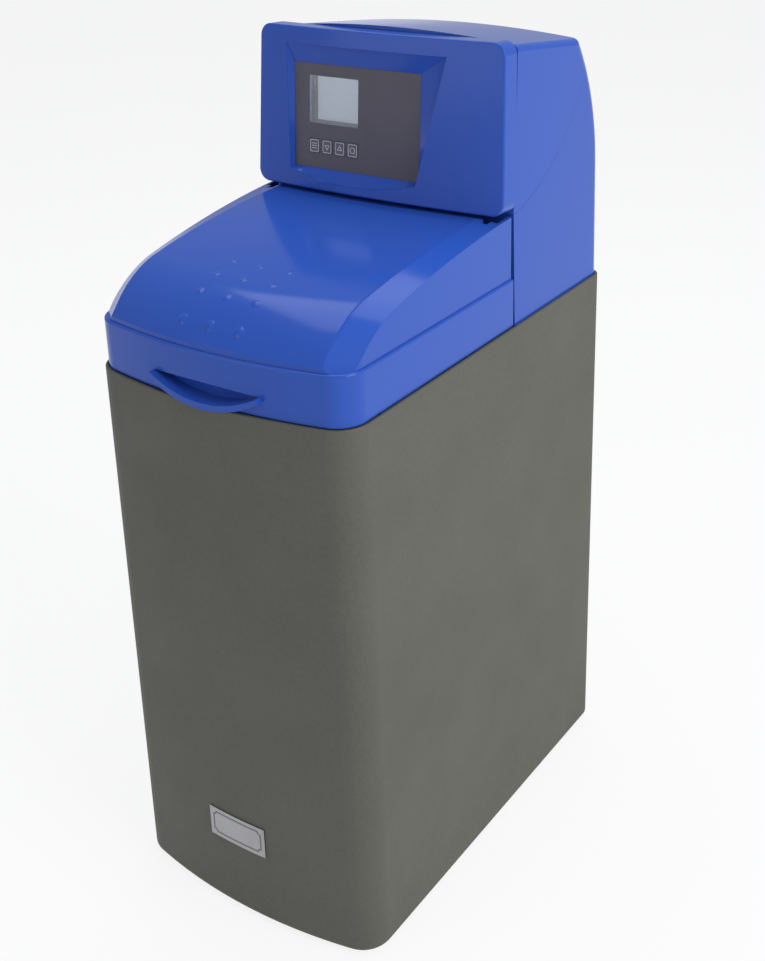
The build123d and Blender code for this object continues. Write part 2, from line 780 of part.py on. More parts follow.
def head_side(inset):
    """Side profile with the rear wall that bends forward as it rises, swept across the width."""
    rear, low, high = REAR - LID_INSET - inset, RIM_Z - CABINET_W, RIM_Z + CABINET_D
    with BuildSketch(Plane.YZ.offset(-HALF_W), mode=Mode.PRIVATE) as profile:
        with BuildLine():
            bend = CenterArc(
                (REAR - LID_INSET - REAR_BEND_R, REAR_BEND_Z), REAR_BEND_R - inset, 0, REAR_BEND_ANGLE
            )
            Polyline(bend @ 1, (FRONT, high), (FRONT, low), (rear, low), (rear, REAR_BEND_Z))
        make_face()
    return extrude(profile.sketch, amount=CABINET_W, mode=Mode.PRIVATE)


def head_top(inset):
    """Space under the crowned top that slopes down to the rear, set in by inset."""
    slope = radians(HOOD_TOP_SLOPE)
    plane = Plane(
        (0, FRONT + HOOD_FRONT_D - FASCIA_SAG, HOOD_TOP_Z),
        x_dir=(1, 0, 0),
        z_dir=(0, -cos(slope), sin(slope)),
    )
    side_z = -HOOD_SIDE_DROP - inset
    with BuildSketch(plane, mode=Mode.PRIVATE) as face:
        with BuildLine():
            ThreePointArc((-HALF_W, side_z), (0, -inset), (HALF_W, side_z))
            Polyline((HALF_W, side_z), (HALF_W, -CABINET_D), (-HALF_W, -CABINET_D), (-HALF_W, side_z))
        make_face()
    return extrude(face.sketch, amount=CABINET_D, both=True, mode=Mode.PRIVATE)


def head_form(inset, z0):
    """Closed form that the shroud and hood are cut from, from z0 up, set in by inset."""
    with BuildPart(mode=Mode.PRIVATE) as form:
        loft([head_plan(z0, inset), head_plan(HOOD_TOP_Z + OVERRUN, inset)], ruled=True)
        add(head_side(inset), mode=Mode.INTERSECT)
        upright = form.edges().filter_by(
            lambda e: e.center().Y > FRONT + TANK_D and abs((e @ 0).Z - (e @ 1).Z) > REAR_CORNER_R
        )
        fillet(upright, REAR_CORNER_R - LID_INSET - inset)
        add(head_top(inset), mode=Mode.INTERSECT)
        upper = form.edges().filter_by(
            lambda e: e.center().Y > FRONT + TANK_D and e.center().Z > PART_LINE_REAR_Z + REAR_CORNER_R
        )
        fillet(upper, HEAD_ROUND_R - inset)
    return form.part


def above_part_line(shift):
    """Space above the curved line where the hood meets the shroud, raised by shift."""
    front = (FRONT + PART_LINE_FRONT_D, PART_LINE_FRONT_Z + shift)
    middle = (FRONT + PART_LINE_MID_D + shift / 2, PART_LINE_MID_Z + shift)
    rear = (FRONT + PART_LINE_REAR_D, PART_LINE_REAR_Z + shift)
    high = HOOD_TOP_Z + OVERRUN
    with BuildSketch(Plane.YZ.offset(-HALF_W), mode=Mode.PRIVATE) as profile:
        with BuildLine():
            Line((FRONT, front[1]), front)
            ThreePointArc(front, middle, rear)
            Polyline(rear, (REAR, rear[1]), (REAR, high), (FRONT, high), (FRONT, front[1]))
        make_face()
    return extrude(profile.sketch, amount=CABINET_W, mode=Mode.PRIVATE)


shroud_front = lid_rear + SHROUD_GAP
bulkhead_rear = shroud_front + BULKHEAD_T
shelf_front = FRONT + PART_LINE_REAR_D - HOOD_SHELF
head_outer = head_form(0, FLANGE_Z)

# Rear shroud: leaning shell over the tank, with the bulkhead and the arms of the lid hinge,
# a service cut-out for the pipes and a shelf that carries the hood
with BuildPart() as rear_shroud:
    add(head_outer)
    add(head_form(SHROUD_WALL, FLANGE_Z - OVERRUN), mode=Mode.SUBTRACT)
    with BuildSketch(Plane.XY.offset(PART_LINE_REAR_Z - SHROUD_WALL)):
        with Locations((0, (shelf_front + REAR) / 2)):
            Rectangle(CABINET_W, REAR - shelf_front)
    extrude(amount=SHROUD_WALL)
    add(head_outer, mode=Mode.INTERSECT)
    add(slab(-HALF_W, HALF_W, FRONT, shroud_front, 0, HOOD_TOP_Z + OVERRUN), mode=Mode.SUBTRACT)
    bulkhead_x = HALF_W - LID_INSET - SHROUD_WALL
    add(slab(-bulkhead_x, bulkhead_x, shroud_front, bulkhead_rear, DECK_TOP, BULKHEAD_TOP))
    add(above_part_line(0), mode=Mode.SUBTRACT)
    with BuildSketch(Plane((0, REAR + OVERRUN, 0), x_dir=(1, 0, 0), z_dir=(0, -1, 0))):
        with BuildLine():
            Polyline(
                (-SERVICE_W / 2, FLANGE_Z - OVERRUN),
                (-SERVICE_W / 2, SERVICE_TOP),
                (SERVICE_W / 2, SERVICE_TOP),
                (SERVICE_W / 2, FLANGE_Z - OVERRUN),
                (-SERVICE_W / 2, FLANGE_Z - OVERRUN),
            )
        make_face()
    extrude(amount=LID_INSET + SHROUD_WALL + 2 * OVERRUN, mode=Mode.SUBTRACT)
    corners = rear_shroud.edges().filter_by(Axis.Y).filter_by(
        lambda e: abs(e.center().Z - SERVICE_TOP) < FIT and abs(abs(e.center().X) - SERVICE_W / 2) < FIT
    )
    fillet(corners, SERVICE_R)
    arm_slope = radians(HINGE_ARM_SLOPE)
    arm_y, arm_z = HINGE_ARM_R * sin(arm_slope), HINGE_ARM_R * cos(arm_slope)
    arm_drop = (shroud_front - hinge_y - arm_y) * tan(arm_slope)
    for side in (-1, 1):
        x0, x1 = sorted((side * arm_x, side * (arm_x + HINGE_ARM_W)))
        plane = Plane((x0, 0, 0), x_dir=(0, 1, 0), z_dir=(1, 0, 0))
        with BuildSketch(plane):
            with Locations((hinge_y, HINGE_Z)):
                Circle(HINGE_ARM_R)
            with BuildLine():
                Polyline(
                    (hinge_y + arm_y, HINGE_Z + arm_z),
                    (shroud_front, HINGE_Z + arm_z - arm_drop),
                    (shroud_front, HINGE_Z - arm_z - arm_drop - HINGE_ARM_H),
                    (hinge_y - arm_y, HINGE_Z - arm_z),
                    (hinge_y + arm_y, HINGE_Z + arm_z),
                )
            make_face()
            with Locations((hinge_y, HINGE_Z)):
                Circle(HINGE_PIN_R, mode=Mode.SUBTRACT)
        extrude(amount=HINGE_ARM_W)
    inlet_plane = Plane(
        (POWER_X, REAR - LID_INSET - SHROUD_WALL - OVERRUN, POWER_Z), x_dir=(1, 0, 0), z_dir=(0, 1, 0)
    )
    with BuildSketch(inlet_plane):
        Circle(POWER_R + FIT)
    extrude(amount=SHROUD_WALL + LID_INSET + OVERRUN * 2, mode=Mode.SUBTRACT)
save(rear_shroud, "rear_shroud")

# Power inlet: low-voltage socket in the rear wall of the shroud
power_face_y = REAR - LID_INSET
with BuildPart() as power_inlet:
    add(cylinder_y(POWER_X, POWER_Z, POWER_R, power_face_y - POWER_L, power_face_y))
    add(
        cylinder_y(
            POWER_X,
            POWER_Z,
            POWER_R + POWER_FLANGE,
            power_face_y + FIT,
            power_face_y + FIT + POWER_FLANGE,
        ),
    )
    add(cylinder_y(POWER_X, POWER_Z, POWER_R, power_face_y, power_face_y + FIT))
    add(
        cylinder_y(POWER_X, POWER_Z, POWER_BORE_R, power_face_y - POWER_L / 2, power_face_y + OVERRUN),
        mode=Mode.SUBTRACT,
    )
save(power_inlet, "power_inlet")


FASCIA_R = (FASCIA_HALF_W**2 + FASCIA_SAG**2) / (2 * FASCIA_SAG)

# Valve hood: shell over the control valve, open below and behind the fascia
hood_open_d = HOOD_FRONT_D + (FASCIA_TOP - FASCIA_BOTTOM) * tan(LEAN) + HOOD_WALL
with BuildPart() as valve_hood:
    add(head_outer)
    add(head_form(HOOD_WALL, FLANGE_Z - OVERRUN), mode=Mode.SUBTRACT)
    with BuildSketch(Plane((0, FRONT, 0), x_dir=(1, 0, 0), z_dir=(0, -1, 0))):
        with Locations((0, (FASCIA_BOTTOM + FASCIA_TOP) / 2)):
            Rectangle(2 * (FASCIA_TOP_HALF_W - HOOD_FRAME), FASCIA_TOP - FASCIA_BOTTOM - 2 * HOOD_FRAME)
    extrude(amount=-hood_open_d, mode=Mode.SUBTRACT)
    add(above_part_line(FIT), mode=Mode.INTERSECT)
save(valve_hood, "valve_hood")


fascia_plane = Plane(
    (0, FRONT + FASCIA_D, FASCIA_BOTTOM), x_dir=(1, 0, 0), z_dir=(0, -cos(LEAN), sin(LEAN))
)
bow_plane = Plane((0, FRONT + FASCIA_D, FASCIA_BOTTOM), x_dir=(1, 0, 0), z_dir=(0, sin(LEAN), cos(LEAN)))
fascia_h = (FASCIA_TOP - FASCIA_BOTTOM) / cos(LEAN)
foil_mid = (FOIL_LEFT + FOIL_W / 2, FOIL_BOTTOM + FOIL_H / 2)
screen_mid = (SCREEN_LEFT + SCREEN_W / 2, SCREEN_BOTTOM + SCREEN_H / 2)
key_mids = [(SCREEN_LEFT + KEY_W / 2 + n * KEY_PITCH, KEY_BOTTOM + KEY_H / 2) for n in range(KEY_COUNT)]
foil_back = -RECESS_DEPTH - FOIL_T
floor_back = foil_back - RECESS_FLOOR_T
screen_front = foil_back - SCREEN_SET_BACK
board_front = screen_front - SCREEN_T
fascia_seat = (HOOD_FRONT_D - FASCIA_SAG - FASCIA_D) * cos(LEAN) - FIT


def fascia_outline(depth, inset):
    """Outline of the fascia at a depth behind its crest, set in by inset."""
    low, high = inset, fascia_h - inset
    with BuildSketch(fascia_plane.offset(-depth), mode=Mode.PRIVATE) as outline:
        with BuildLine():
            Polyline(
                (-FASCIA_HALF_W + inset, low),
                (FASCIA_HALF_W - inset, low),
                (FASCIA_TOP_HALF_W - inset, high),
                (-FASCIA_TOP_HALF_W + inset, high),
                (-FASCIA_HALF_W + inset, low),
            )
        make_face()
        fillet(outline.vertices().group_by(Axis.Z)[-1], FASCIA_TOP_R - inset)
        fillet(outline.vertices().group_by(Axis.Z)[0], FASCIA_BOTTOM_R - inset / 2)
    return outline.sketch


def fascia_bow(inset):
    """Round bar whose front is the fascia's bowed face, set in by inset."""
    with BuildSketch(bow_plane.offset(-CABINET_W), mode=Mode.PRIVATE) as bow:
        with Locations((0, FASCIA_R)):
            Circle(FASCIA_R - inset)
    return extrude(bow.sketch, amount=3 * CABINET_W, mode=Mode.PRIVATE)


def foil_rectangle(depth, grow=0.0):
    """Outline of the keypad foil at a depth behind the fascia's crest, larger by grow."""
    with BuildSketch(fascia_plane.offset(-depth), mode=Mode.PRIVATE) as outline:
        with Locations(foil_mid):
            Rectangle(FOIL_W + 2 * grow, FOIL_H + 2 * grow)
    return outline.sketch


def recess_outline(depth, grow=0.0):
    """Outline of the display recess at a depth behind the fascia's crest, larger by grow."""
    low, high = RECESS_BOTTOM - grow, RECESS_TOP + grow
    left_low, right_low = RECESS_LEFT_LOW - grow, RECESS_RIGHT_LOW + grow
    with BuildSketch(fascia_plane.offset(-depth), mode=Mode.PRIVATE) as outline:
        with BuildLine():
            Polyline(
                (right_low, low), (RECESS_RIGHT + grow, high), (RECESS_LEFT - grow, high), (left_low, low)
            )
            ThreePointArc((left_low, low), ((left_low + right_low) / 2, low - RECESS_SHELF), (right_low, low))
        make_face()
    return outline.sketch


def recess_form(front, rim, floor, grow):
    """Recess that runs straight from front to rim and then narrows to the foil at floor."""
    with BuildPart(mode=Mode.PRIVATE) as form:
        extrude(recess_outline(front, grow), amount=front - rim)
        loft([recess_outline(rim, grow), foil_rectangle(floor, max(grow, FIT / 2))], ruled=True)
    return form.part


def window(mid, width, height, depth, length):
    """Block behind the fascia's crest, length long inwards from depth."""
    with BuildSketch(fascia_plane.offset(-depth), mode=Mode.PRIVATE) as outline:
        with Locations(mid):
            Rectangle(width, height)
    return extrude(outline.sketch, amount=-length, mode=Mode.PRIVATE)


post_mids = [
    (foil_mid[0] + sx * (BOARD_W / 2 - POST_INSET), foil_mid[1] + sy * (BOARD_H / 2 - POST_INSET))
    for sx in (-1, 1)
    for sy in (-1, 1)
]

# Fascia: bowed front panel with a bevelled display recess and screw posts behind it
with BuildPart() as fascia:
    extrude(fascia_outline(-OVERRUN, 0), amount=-(OVERRUN + FASCIA_SAG + FASCIA_FLANK + OVERRUN))
    add(fascia_bow(0), mode=Mode.INTERSECT)
    add(fascia_bow(FASCIA_FLANK), mode=Mode.SUBTRACT)
    face = fascia.faces().sort_by(Axis((0, 0, 0), fascia_plane.z_dir))[-1]
    fillet(face.edges(), FASCIA_EDGE_R)
    with BuildPart(mode=Mode.SUBTRACT):
        extrude(fascia_outline(-OVERRUN, FASCIA_WALL), amount=-(FASCIA_SAG + FASCIA_FLANK + 3 * OVERRUN))
        add(fascia_bow(FASCIA_WALL), mode=Mode.INTERSECT)
    boss_x = FASCIA_TOP_HALF_W - HOOD_FRAME + FASCIA_BOSS_R + FIT
    with BuildPart():
        with BuildSketch(fascia_plane.offset(-FASCIA_SAG)):
            with Locations(*[(side * boss_x, z) for side in (-1, 1) for z in FASCIA_BOSS_ZS]):
                Circle(FASCIA_BOSS_R)
        extrude(amount=-2 * FASCIA_FLANK)
        add(fascia_bow(FASCIA_WALL / 2), mode=Mode.INTERSECT)
        add(fascia_bow(fascia_seat), mode=Mode.SUBTRACT)
    with BuildPart():
        add(recess_form(-OVERRUN, RECESS_RIM_DEPTH + FASCIA_WALL / 2, -floor_back, FASCIA_WALL))
        add(fascia_bow(FASCIA_WALL / 2), mode=Mode.INTERSECT)
    add(recess_form(-OVERRUN, RECESS_RIM_DEPTH, RECESS_DEPTH, 0), mode=Mode.SUBTRACT)
    extrude(foil_rectangle(RECESS_DEPTH - FIT, FIT / 2), amount=-(FOIL_T + FIT), mode=Mode.SUBTRACT)
    add(
        window(screen_mid, SCREEN_W, SCREEN_H, -foil_back - FIT, RECESS_FLOOR_T + 2 * FIT),
        mode=Mode.SUBTRACT,
    )
    for mid in key_mids:
        add(window(mid, KEY_W + 2 * KEY_LIP + 2 * FIT, KEY_H + 2 * KEY_LIP + 2 * FIT, -foil_back - FIT,
                   RECESS_FLOOR_T + 2 * FIT), mode=Mode.SUBTRACT)
    with BuildSketch(fascia_plane.offset(floor_back)):
        with Locations(*post_mids):
            Circle(POST_R)
    extrude(amount=board_front - floor_back)
    with BuildSketch(fascia_plane.offset(board_front)):
        with Locations(*post_mids):
            Circle(SCREW_R)
    extrude(amount=POST_R * 2, mode=Mode.SUBTRACT)
save(fascia, "fascia")

# Control foil: flat keypad plate with a screen window and four key holes
with BuildPart() as control_foil:
    extrude(foil_rectangle(RECESS_DEPTH), amount=-FOIL_T)
    add(window(screen_mid, SCREEN_W, SCREEN_H, RECESS_DEPTH - FIT, FOIL_T + 2 * FIT), mode=Mode.SUBTRACT)
    for mid in key_mids:
        add(window(mid, KEY_W + FIT, KEY_H + FIT, RECESS_DEPTH - FIT, FOIL_T + 2 * FIT), mode=Mode.SUBTRACT)
save(control_foil, "control_foil")

# Screen pane: clear pane in the window of the foil
with BuildPart() as screen_pane:
    add(window(screen_mid, SCREEN_W - FIT, SCREEN_H - FIT, RECESS_DEPTH, PANE_T))
save(screen_pane, "screen_pane")

# Screen module: framed display that stands on the board behind the window
with BuildPart() as screen_module:
    add(
        window(
            screen_mid,
            SCREEN_W + 2 * SCREEN_FRAME,
            SCREEN_H + 2 * SCREEN_FRAME,
            -screen_front,
            SCREEN_T,
        ),
    )
save(screen_module, "screen_module")

# Keys: four caps that travel in the foil, each with a lip behind it and a stem towards its switch
for number, mid in enumerate(key_mids, start=1):
    with BuildPart() as key:
        add(window(mid, KEY_W - FIT, KEY_H - FIT, RECESS_DEPTH - KEY_PROUD, KEY_PROUD + FOIL_T + FIT))
        add(window(mid, KEY_W + 2 * KEY_LIP, KEY_H + 2 * KEY_LIP, -foil_back + FIT, KEY_LIP))
        add(window(mid, KEY_STEM, KEY_STEM, -foil_back + FIT, KEY_STEM))
    save(key, f"key_{number}")

# Control board: carries the screen and one switch behind each key
key_back = foil_back - FIT - KEY_STEM
with BuildPart() as control_board:
    add(window(foil_mid, BOARD_W, BOARD_H, -board_front, BOARD_T))
    with BuildSketch(fascia_plane.offset(board_front)):
        with Locations(*key_mids):
            Circle(SWITCH_R)
    extrude(amount=key_back - KEY_TRAVEL - FIT - board_front)
    with BuildSketch(fascia_plane.offset(board_front + OVERRUN)):
        with Locations(*post_mids):
            Circle(SCREW_R + FIT)
    extrude(amount=-2 * OVERRUN, mode=Mode.SUBTRACT)
save(control_board, "control_board")

# Board screws: one through each corner of the board into its post
with BuildPart() as board_screws:
    board_back = board_front - BOARD_T
    with BuildSketch(fascia_plane.offset(board_back)):
        with Locations(*post_mids):
            Circle(SCREW_HEAD_R)
    extrude(amount=-SCREW_HEAD_H)
    with BuildSketch(fascia_plane.offset(board_back)):
        with Locations(*post_mids):
            Circle(SCREW_R)
    extrude(amount=BOARD_T + 2 * POST_R)
save(board_screws, "board_screws")

tank_y = FRONT + TANK_D


def lathe(points_and_arcs, axis_xy):
    """Solid turned about an upright axis from a closed profile of distances and heights."""
    plane = Plane((axis_xy[0], axis_xy[1], 0), x_dir=(1, 0, 0), z_dir=(0, -1, 0))
    with BuildSketch(plane, mode=Mode.PRIVATE) as profile:
        with BuildLine():
            Polyline(*points_and_arcs, close=True)
        make_face()
    axis = Axis((axis_xy[0], axis_xy[1], 0), (0, 0, 1))
    return revolve(profile.sketch, axis=axis, mode=Mode.PRIVATE)


def tank_form(inset, low_z, neck_top, neck_r):
    """Closed form of the resin tank: bowl, wall, shoulder and neck, set in by inset."""
    radius = TANK_R - inset
    bowl_h = TANK_BOWL_H - inset
    wall_low = TANK_BASE_Z + TANK_BOWL_H
    shoulder_h = TANK_SHOULDER_H - inset
    rise_share = sqrt(1 - (neck_r / radius) ** 2)
    shoulder_z = TANK_SHOULDER_Z + shoulder_h * rise_share
    plane = Plane((0, tank_y, 0), x_dir=(1, 0, 0), z_dir=(0, -1, 0))
    with BuildSketch(plane, mode=Mode.PRIVATE) as profile:
        with BuildLine():
            EllipticalCenterArc((0, wall_low), radius, bowl_h, start_angle=270, arc_size=90)
            Line((radius, wall_low), (radius, TANK_SHOULDER_Z))
            neck_angle = degrees(atan2(rise_share, neck_r / radius))
            EllipticalCenterArc(
                (0, TANK_SHOULDER_Z), radius, shoulder_h, start_angle=0, arc_size=neck_angle
            )
            Polyline((neck_r, shoulder_z), (neck_r, neck_top), (0, neck_top), (0, low_z))
        make_face()
    return revolve(profile.sketch, axis=Axis((0, tank_y, 0), (0, 0, 1)), mode=Mode.PRIVATE)


# Resin tank: pressure vessel with a rounded base, a domed shoulder and a neck
with BuildPart() as resin_tank:
    add(tank_form(0, TANK_BASE_Z, TANK_NECK_Z, TANK_NECK_R))
    add(
        tank_form(TANK_WALL, TANK_BASE_Z + TANK_WALL, TANK_NECK_Z + OVERRUN, TANK_BORE_R),
        mode=Mode.SUBTRACT,
    )
save(resin_tank, "resin_tank")

# Tank boot: footed cup that carries the rounded base of the tank
boot_inner = TANK_R + FIT
seat_z = TANK_BASE_Z + TANK_BOWL_H * (1 - sqrt(1 - (BOOT_SEAT_R / TANK_R) ** 2)) - FIT
with BuildPart() as tank_boot:
    add(lathe([(BOOT_SEAT_R - BOOT_WALL, FLOOR_Z), (boot_inner + BOOT_WALL, FLOOR_Z),
               (boot_inner + BOOT_WALL, FLOOR_Z + BOOT_H), (boot_inner, FLOOR_Z + BOOT_H),
               (boot_inner, FLOOR_Z + BOOT_WALL), (BOOT_SEAT_R, FLOOR_Z + BOOT_WALL),
               (BOOT_SEAT_R, seat_z), (BOOT_SEAT_R - BOOT_WALL, seat_z - BOOT_WALL / 2)], (0, tank_y)))
    for turn in range(BOOT_RIBS):
        angle = 2 * pi * turn / BOOT_RIBS
        plane = Plane((0, tank_y, 0), x_dir=(cos(angle), sin(angle), 0), z_dir=(sin(angle), -cos(angle), 0))
        with BuildSketch(plane):
            with BuildLine():
                Polyline((BOOT_SEAT_R - FIT, FLOOR_Z + FIT), (boot_inner + FIT, FLOOR_Z + FIT),
                         (boot_inner + FIT, seat_z), (BOOT_SEAT_R - FIT, seat_z - BOOT_WALL),
                         (BOOT_SEAT_R - FIT, FLOOR_Z + FIT))
            make_face()
        extrude(amount=BOOT_WALL / 2, both=True)
save(tank_boot, "tank_boot")

# Riser tube: centre tube from the valve down to the lower distributor
with BuildPart() as riser_tube:
    add(cylinder_z(0, tank_y, RISER_R, RISER_LOW_Z, RISER_TOP_Z))
    add(
        cylinder_z(0, tank_y, RISER_BORE_R, RISER_LOW_Z - OVERRUN, RISER_TOP_Z + OVERRUN),
        mode=Mode.SUBTRACT,
    )
save(riser_tube, "riser_tube")


def basket(radius, low_z, high_z, bore, ring_bands):
    """Slotted basket round the riser with a closed end below and open bands between its rings."""
    with BuildPart(mode=Mode.PRIVATE) as form:
        add(cylinder_z(0, tank_y, radius, low_z, high_z))
        add(cylinder_z(0, tank_y, bore, low_z + BASKET_WALL, high_z + OVERRUN), mode=Mode.SUBTRACT)
        pitch = (high_z - low_z - 2 * BASKET_WALL) / ring_bands
        for band in range(ring_bands):
            z = low_z + BASKET_WALL + band * pitch + pitch / 4
            for turn in range(BASKET_SLOTS):
                slot_box = Box(radius - bore + 2 * BASKET_WALL, BASKET_WALL, pitch / 2, mode=Mode.PRIVATE)
                reach = Location((0, tank_y, z + pitch / 4), (0, 0, turn * 360 / BASKET_SLOTS))
                add(reach * Location(((radius + bore) / 2, 0, 0)) * slot_box, mode=Mode.SUBTRACT)
    return form.part


# Lower distributor: slotted basket on the foot of the riser
with BuildPart() as lower_distributor:
    add(
        basket(
            BASKET_R,
            RISER_LOW_Z - BASKET_WALL - FIT,
            RISER_LOW_Z + LOWER_BASKET_H,
            RISER_R + FIT / 2,
            2,
        ),
    )
save(lower_distributor, "lower_distributor")

# Upper distributor: slotted basket round the top of the riser, hung from the valve
with BuildPart() as upper_distributor:
    add(
        lathe(
            [
                (RISER_R + FIT, UPPER_BASKET_Z),
                (UPPER_BASKET_R, UPPER_BASKET_Z),
                (UPPER_BASKET_R, NECK_SEAT_Z - FIT),
                (UPPER_BASKET_R - BASKET_WALL, NECK_SEAT_Z - FIT),
                (UPPER_BASKET_R - BASKET_WALL, UPPER_BASKET_Z + BASKET_WALL),
                (RISER_R + FIT, UPPER_BASKET_Z + BASKET_WALL),
            ],
            (0, tank_y),
        ),
    )
save(upper_distributor, "upper_distributor")

# Deck: inner floor of the valve bay, on the rim's flange, with a turned-down front edge
deck_inset = LID_INSET + SHROUD_WALL + 3 * FIT
with BuildPart() as deck:
    extrude(bowed_outline(FLANGE_Z, inset=deck_inset), amount=DECK_T)
    extrude(bowed_outline(FLANGE_Z - DECK_LIP_H, inset=CABINET_WALL + FLANGE_W + FIT), amount=DECK_LIP_H)
    extrude(
        bowed_outline(FLANGE_Z - DECK_LIP_H, inset=CABINET_WALL + FLANGE_W + FIT + DECK_T),
        amount=DECK_LIP_H,
        mode=Mode.SUBTRACT,
    )
    add(
        slab(-HALF_W, HALF_W, FRONT - OVERRUN, FRONT + DECK_FRONT_D, 0, RIM_Z + OVERRUN),
        mode=Mode.SUBTRACT,
    )
    lip_x = HALF_W - CABINET_WALL - FLANGE_W - FIT
    add(
        slab(
            -lip_x,
            lip_x,
            FRONT + DECK_FRONT_D,
            FRONT + DECK_FRONT_D + DECK_T,
            FLANGE_Z - DECK_LIP_H,
            FLANGE_Z,
        ),
    )
    add(cylinder_z(0, tank_y, VALVE_NECK_R + SEAM, 0, RIM_Z + OVERRUN), mode=Mode.SUBTRACT)
    add(cylinder_z(TUBE_X, FRONT + TUBE_D, TUBE_HOLE_R, 0, RIM_Z + OVERRUN), mode=Mode.SUBTRACT)
save(deck, "deck")

# Control valve body: neck on the tank, column, barrel along Y, two ports, meter housing and bosses
port_front = tank_y + PORT_BORE_D
port_rear = tank_y + PORT_REAR
barrel_front = tank_y + VALVE_FRONT
head_front = barrel_front + GLAND_L + PISTON_GAP
head_rear = head_front + PISTON_LANDS * PISTON_LAND_L + (PISTON_LANDS - 1) * PISTON_GROOVE_L
bore_rear = head_rear + PISTON_STROKE + PISTON_GAP
barrel_rear = bore_rear + PLUG_T
injector_y = FRONT + INJECTOR_D
drain_y = FRONT + DRAIN_D
meter_y = FRONT + METER_D
brine_y = FRONT + TUBE_D
with BuildPart() as valve_body:
    add(cylinder_z(0, tank_y, VALVE_NECK_R, VALVE_NECK_LOW, VALVE_NECK_TOP))
    fillet(valve_body.edges().group_by(Axis.Z)[-1], NECK_ROUND_R)
    add(cylinder_z(0, tank_y, VALVE_COLUMN_R, VALVE_NECK_TOP - NECK_ROUND_R, VALVE_AXIS_Z))
    add(cylinder_y(0, VALVE_AXIS_Z, VALVE_R, barrel_front, barrel_rear))
    for side in (-1, 1):
        add(cylinder_y(side * PORT_X, PORT_Z, PORT_R, tank_y, port_rear))
    add(cylinder_x(meter_y, PORT_Z, METER_R, 0, METER_FACE_X))
    add(cylinder_z(0, injector_y, INJECTOR_BOSS_R, VALVE_AXIS_Z, INJECTOR_TOP_Z))
    add(cylinder_z(DRAIN_X, drain_y, DRAIN_BOSS_R, VALVE_AXIS_Z, DRAIN_BOSS_TOP))
    add(cylinder_x(brine_y, BRINE_Z, BRINE_BOSS_R, BRINE_BOSS_X, 0))
    for turn in range(NECK_RIBS):
        rib = Box(
            NECK_RIB_T,
            2 * VALVE_NECK_R + 2 * NECK_RIB_H,
            VALVE_NECK_TOP - DECK_TOP - NECK_ROUND_R - SEAM,
            align=(Align.CENTER, Align.CENTER, Align.MIN),
            mode=Mode.PRIVATE,
        )
        add(Location((0, tank_y, DECK_TOP + SEAM), (0, 0, turn * 180 / NECK_RIBS)) * rib)
    add(cylinder_z(0, tank_y, TANK_NECK_R + FIT, VALVE_NECK_LOW - OVERRUN, NECK_SEAT_Z), mode=Mode.SUBTRACT)
    add(cylinder_z(0, tank_y, RISER_R + FIT, NECK_SEAT_Z - OVERRUN, RISER_TOP_Z + FIT), mode=Mode.SUBTRACT)
    add(
        cylinder_z(0, tank_y, RISER_BORE_R, RISER_TOP_Z, VALVE_AXIS_Z - VALVE_BORE_R + OVERRUN),
        mode=Mode.SUBTRACT,
    )
    add(
        cylinder_y(0, VALVE_AXIS_Z, VALVE_BORE_R, barrel_front - OVERRUN, bore_rear),
        mode=Mode.SUBTRACT,
    )
    for side in (-1, 1):
        add(
            cylinder_y(side * PORT_X, PORT_Z, PORT_BORE_R, port_front, port_rear + OVERRUN),
            mode=Mode.SUBTRACT,
        )
    add(cylinder_x(meter_y, PORT_Z, METER_POCKET_R, METER_FACE_X - METER_POCKET_D, METER_FACE_X + OVERRUN),
        mode=Mode.SUBTRACT)
    add(
        cylinder_z(
            0, injector_y, INJECTOR_BORE_R, INJECTOR_TOP_Z - INJECTOR_BORE_L, INJECTOR_TOP_Z + OVERRUN
        ),
        mode=Mode.SUBTRACT,
    )
    add(cylinder_z(DRAIN_X, drain_y, BARB_R + FIT, DRAIN_BOSS_TOP - SOCKET_L, DRAIN_BOSS_TOP + OVERRUN),
        mode=Mode.SUBTRACT)
    add(cylinder_x(brine_y, BRINE_Z, TUBE_R + FIT, BRINE_BOSS_X - OVERRUN, BRINE_BOSS_X + SOCKET_L),
        mode=Mode.SUBTRACT)
save(valve_body, "valve_body")

# Piston: rod and head that shift along the barrel
piston_bore = VALVE_BORE_R - RUNNING_FIT
with BuildPart() as piston:
    add(cylinder_y(0, VALVE_AXIS_Z, PISTON_ROD_R, FRONT + ROD_FRONT_D, head_front + PISTON_GAP))
    for ring in range(PISTON_LANDS):
        start = head_front + ring * (PISTON_LAND_L + PISTON_GROOVE_L)
        add(cylinder_y(0, VALVE_AXIS_Z, piston_bore, start, start + PISTON_LAND_L))
    add(cylinder_y(0, VALVE_AXIS_Z, PISTON_CORE_R, head_front, head_rear))
save(piston, "piston")

# Piston gland: bushing that closes the front of the barrel round the rod
with BuildPart() as piston_gland:
    add(cylinder_y(0, VALVE_AXIS_Z, VALVE_BORE_R - FIT / 2, barrel_front, barrel_front + GLAND_L))
    add(
        cylinder_y(
            0,
            VALVE_AXIS_Z,
            PISTON_ROD_R + RUNNING_FIT,
            barrel_front - OVERRUN,
            barrel_front + OVERRUN * 2,
        ),
        mode=Mode.SUBTRACT,
    )
save(piston_gland, "piston_gland")

